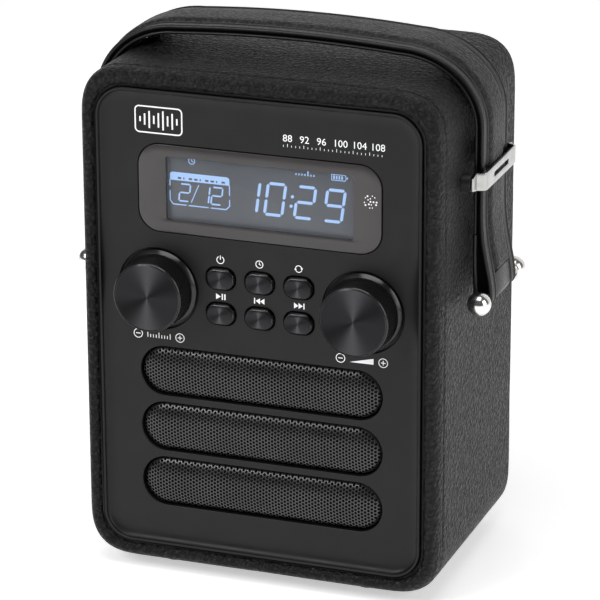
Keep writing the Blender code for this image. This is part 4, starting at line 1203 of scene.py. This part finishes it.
def make_back_details():
    """The tongues and contacts in the sockets, and plain signs over them."""
    make_tongue("usb_tongue", "usb_socket", rounded(0.0112, 0.0019, 0.0003, 3), 0.0012, 0.0012)
    low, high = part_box("usb_socket")
    centre = middle("usb_socket")
    bm = bmesh.new()
    for k in range(4):
        x = centre.x + (k - 1.5) * 0.0022
        solid(bm, [at(rounded(0.001, 0.0001, 0.00004, 2), y, (x, centre.z + 0.00022))
                   for y in (low.y + 0.0022, high.y - 0.0016)])
    add_piece("usb_contacts", to_mesh("usb_contacts", bm), "case", GOLD)
    make_tongue("charge_tongue", "charge_socket", rounded(0.0044, 0.0007, 0.0002, 3), 0.001)
    ink = Ink()
    z = middle("usb_socket").z / MM + 7.4
    x = middle("usb_socket").x / MM
    ink.path(loop_back([(x - 1.6, z - 1.0), (x - 1.6, z + 1.0), (x + 1.6, z + 1.0), (x + 1.6, z - 1.0)]), 0.3)
    ink.bar((x - 0.8, z), (x + 0.8, z), 0.5)
    x = middle("card_slot").x / MM
    ink.path(loop_back([(x - 1.2, z - 1.4), (x - 1.2, z + 1.4), (x + 0.5, z + 1.4), (x + 1.2, z + 0.7),
                        (x + 1.2, z - 1.4)]), 0.3)
    x = middle("headphone_socket").x / MM
    ink.ring(x, z - 0.3, 1.4, 0.3, 0, 180, 16)
    ink.bar((x - 1.4, z - 1.3), (x - 1.4, z - 0.2), 0.7)
    ink.bar((x + 1.4, z - 1.3), (x + 1.4, z - 0.2), 0.7)
    x = middle("charge_socket").x / MM
    ink.fill([(x - 0.9, z - 0.15), (x + 0.5, z + 1.6), (x + 0.1, z + 0.2), (x + 0.95, z + 0.2),
              (x - 0.5, z - 1.6), (x - 0.1, z - 0.15)])
    ink.piece("back_print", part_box("back_panel")[1].y + 0.00003, WHITE_INK_PAINTED_GLOW, 0.00002)


# ---- Finishes on the CAD nodes that stay in view ----

CAD_LOOKS = {
    "cabinet_sleeve": "fibreboard", "back_panel": "back_black", "battery_door": "back_black",
    "battery_tray": "back_black", "battery_pack": "cell_wrap", "battery_lead": "lead_sleeve",
    "speaker_lead": "lead_sleeve", "antenna_wire": "antenna_sleeve", "card_slot": "plated_steel",
    "usb_socket": "plated_steel", "charge_socket": "plated_steel", "headphone_socket": "component_black",
    "control_board": "board_green", "main_board": "board_green", "lcd_backlight": "white_diffuser",
    "speaker_basket": "speaker_steel", "speaker_cone": "speaker_paper", "speaker_magnet": "ferrite",
    "strap_pin_left": "plated_steel", "strap_pin_right": "plated_steel", "tuning_shaft": "plated_steel",
    "volume_shaft": "plated_steel", "tuning_encoder": "plated_steel", "volume_encoder": "plated_steel",
}
SOFTENED = {"battery_door": 0.0004, "battery_tray": 0.0002}


def finish_cad_nodes():
    for name, obj in NODES.items():
        if obj.hide_render:
            continue
        look = CAD_LOOKS.get(name)
        if name.startswith("back_screw"):
            look = "screw_steel"
        elif name.startswith("keeper_post"):
            look = "post_black"
        obj.data.materials.clear()
        obj.data.materials.append(LOOKS[look])
        weld = obj.modifiers.new("weld", "WELD")
        weld.merge_threshold = 1e-6
        if name in SOFTENED or name.startswith("keeper_post"):
            edge = obj.modifiers.new("edge", "BEVEL")
            edge.width = SOFTENED.get(name, 0.0004)
            edge.segments = 2
            edge.limit_method = "ANGLE"
            edge.angle_limit = math.radians(50)
        obj.data.shade_smooth()
        obj.data.set_sharp_from_angle(angle=math.radians(30))
        flat = obj.modifiers.new("flat_faces", "WEIGHTED_NORMAL")
        flat.keep_sharp = True


# ---- Floor, light and camera ----

def softbox(name, place, target, size, power, colour=(1, 1, 1)):
    light = bpy.data.lights.new(name, "AREA")
    light.shape = "RECTANGLE"
    light.size, light.size_y = size
    light.energy = power
    light.color = colour
    obj = bpy.data.objects.new(name, light)
    obj.location = place
    obj.rotation_euler = (Vector(target) - Vector(place)).to_track_quat("-Z", "Y").to_euler()
    SCENE.collection.objects.link(obj)


def make_stage():
    floor = Look("floor", (0.92, 0.92, 0.92), 0.7, Emission_Color=(1, 1, 1, 1), Emission_Strength=0.5)
    floor.bump(floor.noise(3.0), 0.01)
    floor.tint(floor.noise(200.0), (0.9, 0.9, 0.9))
    bm = bmesh.new()
    far, bend_r, wall_y = 3.0, 0.8, 2.0
    start_y = wall_y - bend_r
    line = [(-far, 0.0), (start_y, 0.0)]
    line += [(start_y + a, bend_r + b) for a, b in arc(0, 0, bend_r, bend_r, -90, 0, 12)][1:]
    line.append((wall_y, 4.0))
    skin(bm, [[(x, y, z) for y, z in line] for x in (-far, far)], closed=False)
    mesh = to_mesh("floor", bm)
    mesh.materials.append(floor.material)
    obj = bpy.data.objects.new("floor", mesh)
    obj.location.z = -0.0001
    SCENE.collection.objects.link(obj)
    world = bpy.data.worlds.new("studio")
    world.use_nodes = True
    background = world.node_tree.nodes["Background"]
    background.inputs["Color"].default_value = (1, 1, 1, 1)
    background.inputs["Strength"].default_value = 0.08
    SCENE.world = world
    aim = (0, 0, 0.09)
    softbox("key", (-0.55, -0.75, 0.75), aim, (0.5, 0.5), 6.0)
    softbox("side", (0.95, -0.25, 0.45), aim, (0.5, 0.7), 3.4, (1, 0.98, 0.96))
    softbox("top", (0.05, -0.3, 1.0), aim, (0.7, 0.5), 4.0)


def make_camera():
    data = bpy.data.cameras.new("camera")
    data.lens = 215.86
    data.sensor_width = 36.0
    data.clip_start, data.clip_end = 0.05, 20.0
    camera = bpy.data.objects.new("camera", data)
    azimuth, elevation, roll = math.radians(20.165), math.radians(19.594), math.radians(-0.238)
    back = Vector((math.sin(azimuth) * math.cos(elevation), -math.cos(azimuth) * math.cos(elevation),
                   math.sin(elevation)))
    camera.location = Vector((0.000043, 0.00225, 0.081961)) + back * 1.131075
    turn = (-back).to_track_quat("-Z", "Y")
    turn.rotate(Quaternion(back, roll))
    camera.rotation_mode = "QUATERNION"
    camera.rotation_quaternion = turn
    SCENE.collection.objects.link(camera)
    SCENE.camera = camera


make_leather_cover()
make_front_panel()
make_display()
make_display_shapes()
make_panel_print()
make_speaker_mesh()
make_knobs()
make_buttons()
make_strap()
make_strap_balls()
make_keepers()
make_feet()
make_back_details()
finish_cad_nodes()
make_stage()
make_camera()
SCENE.view_settings.view_transform = "Standard"
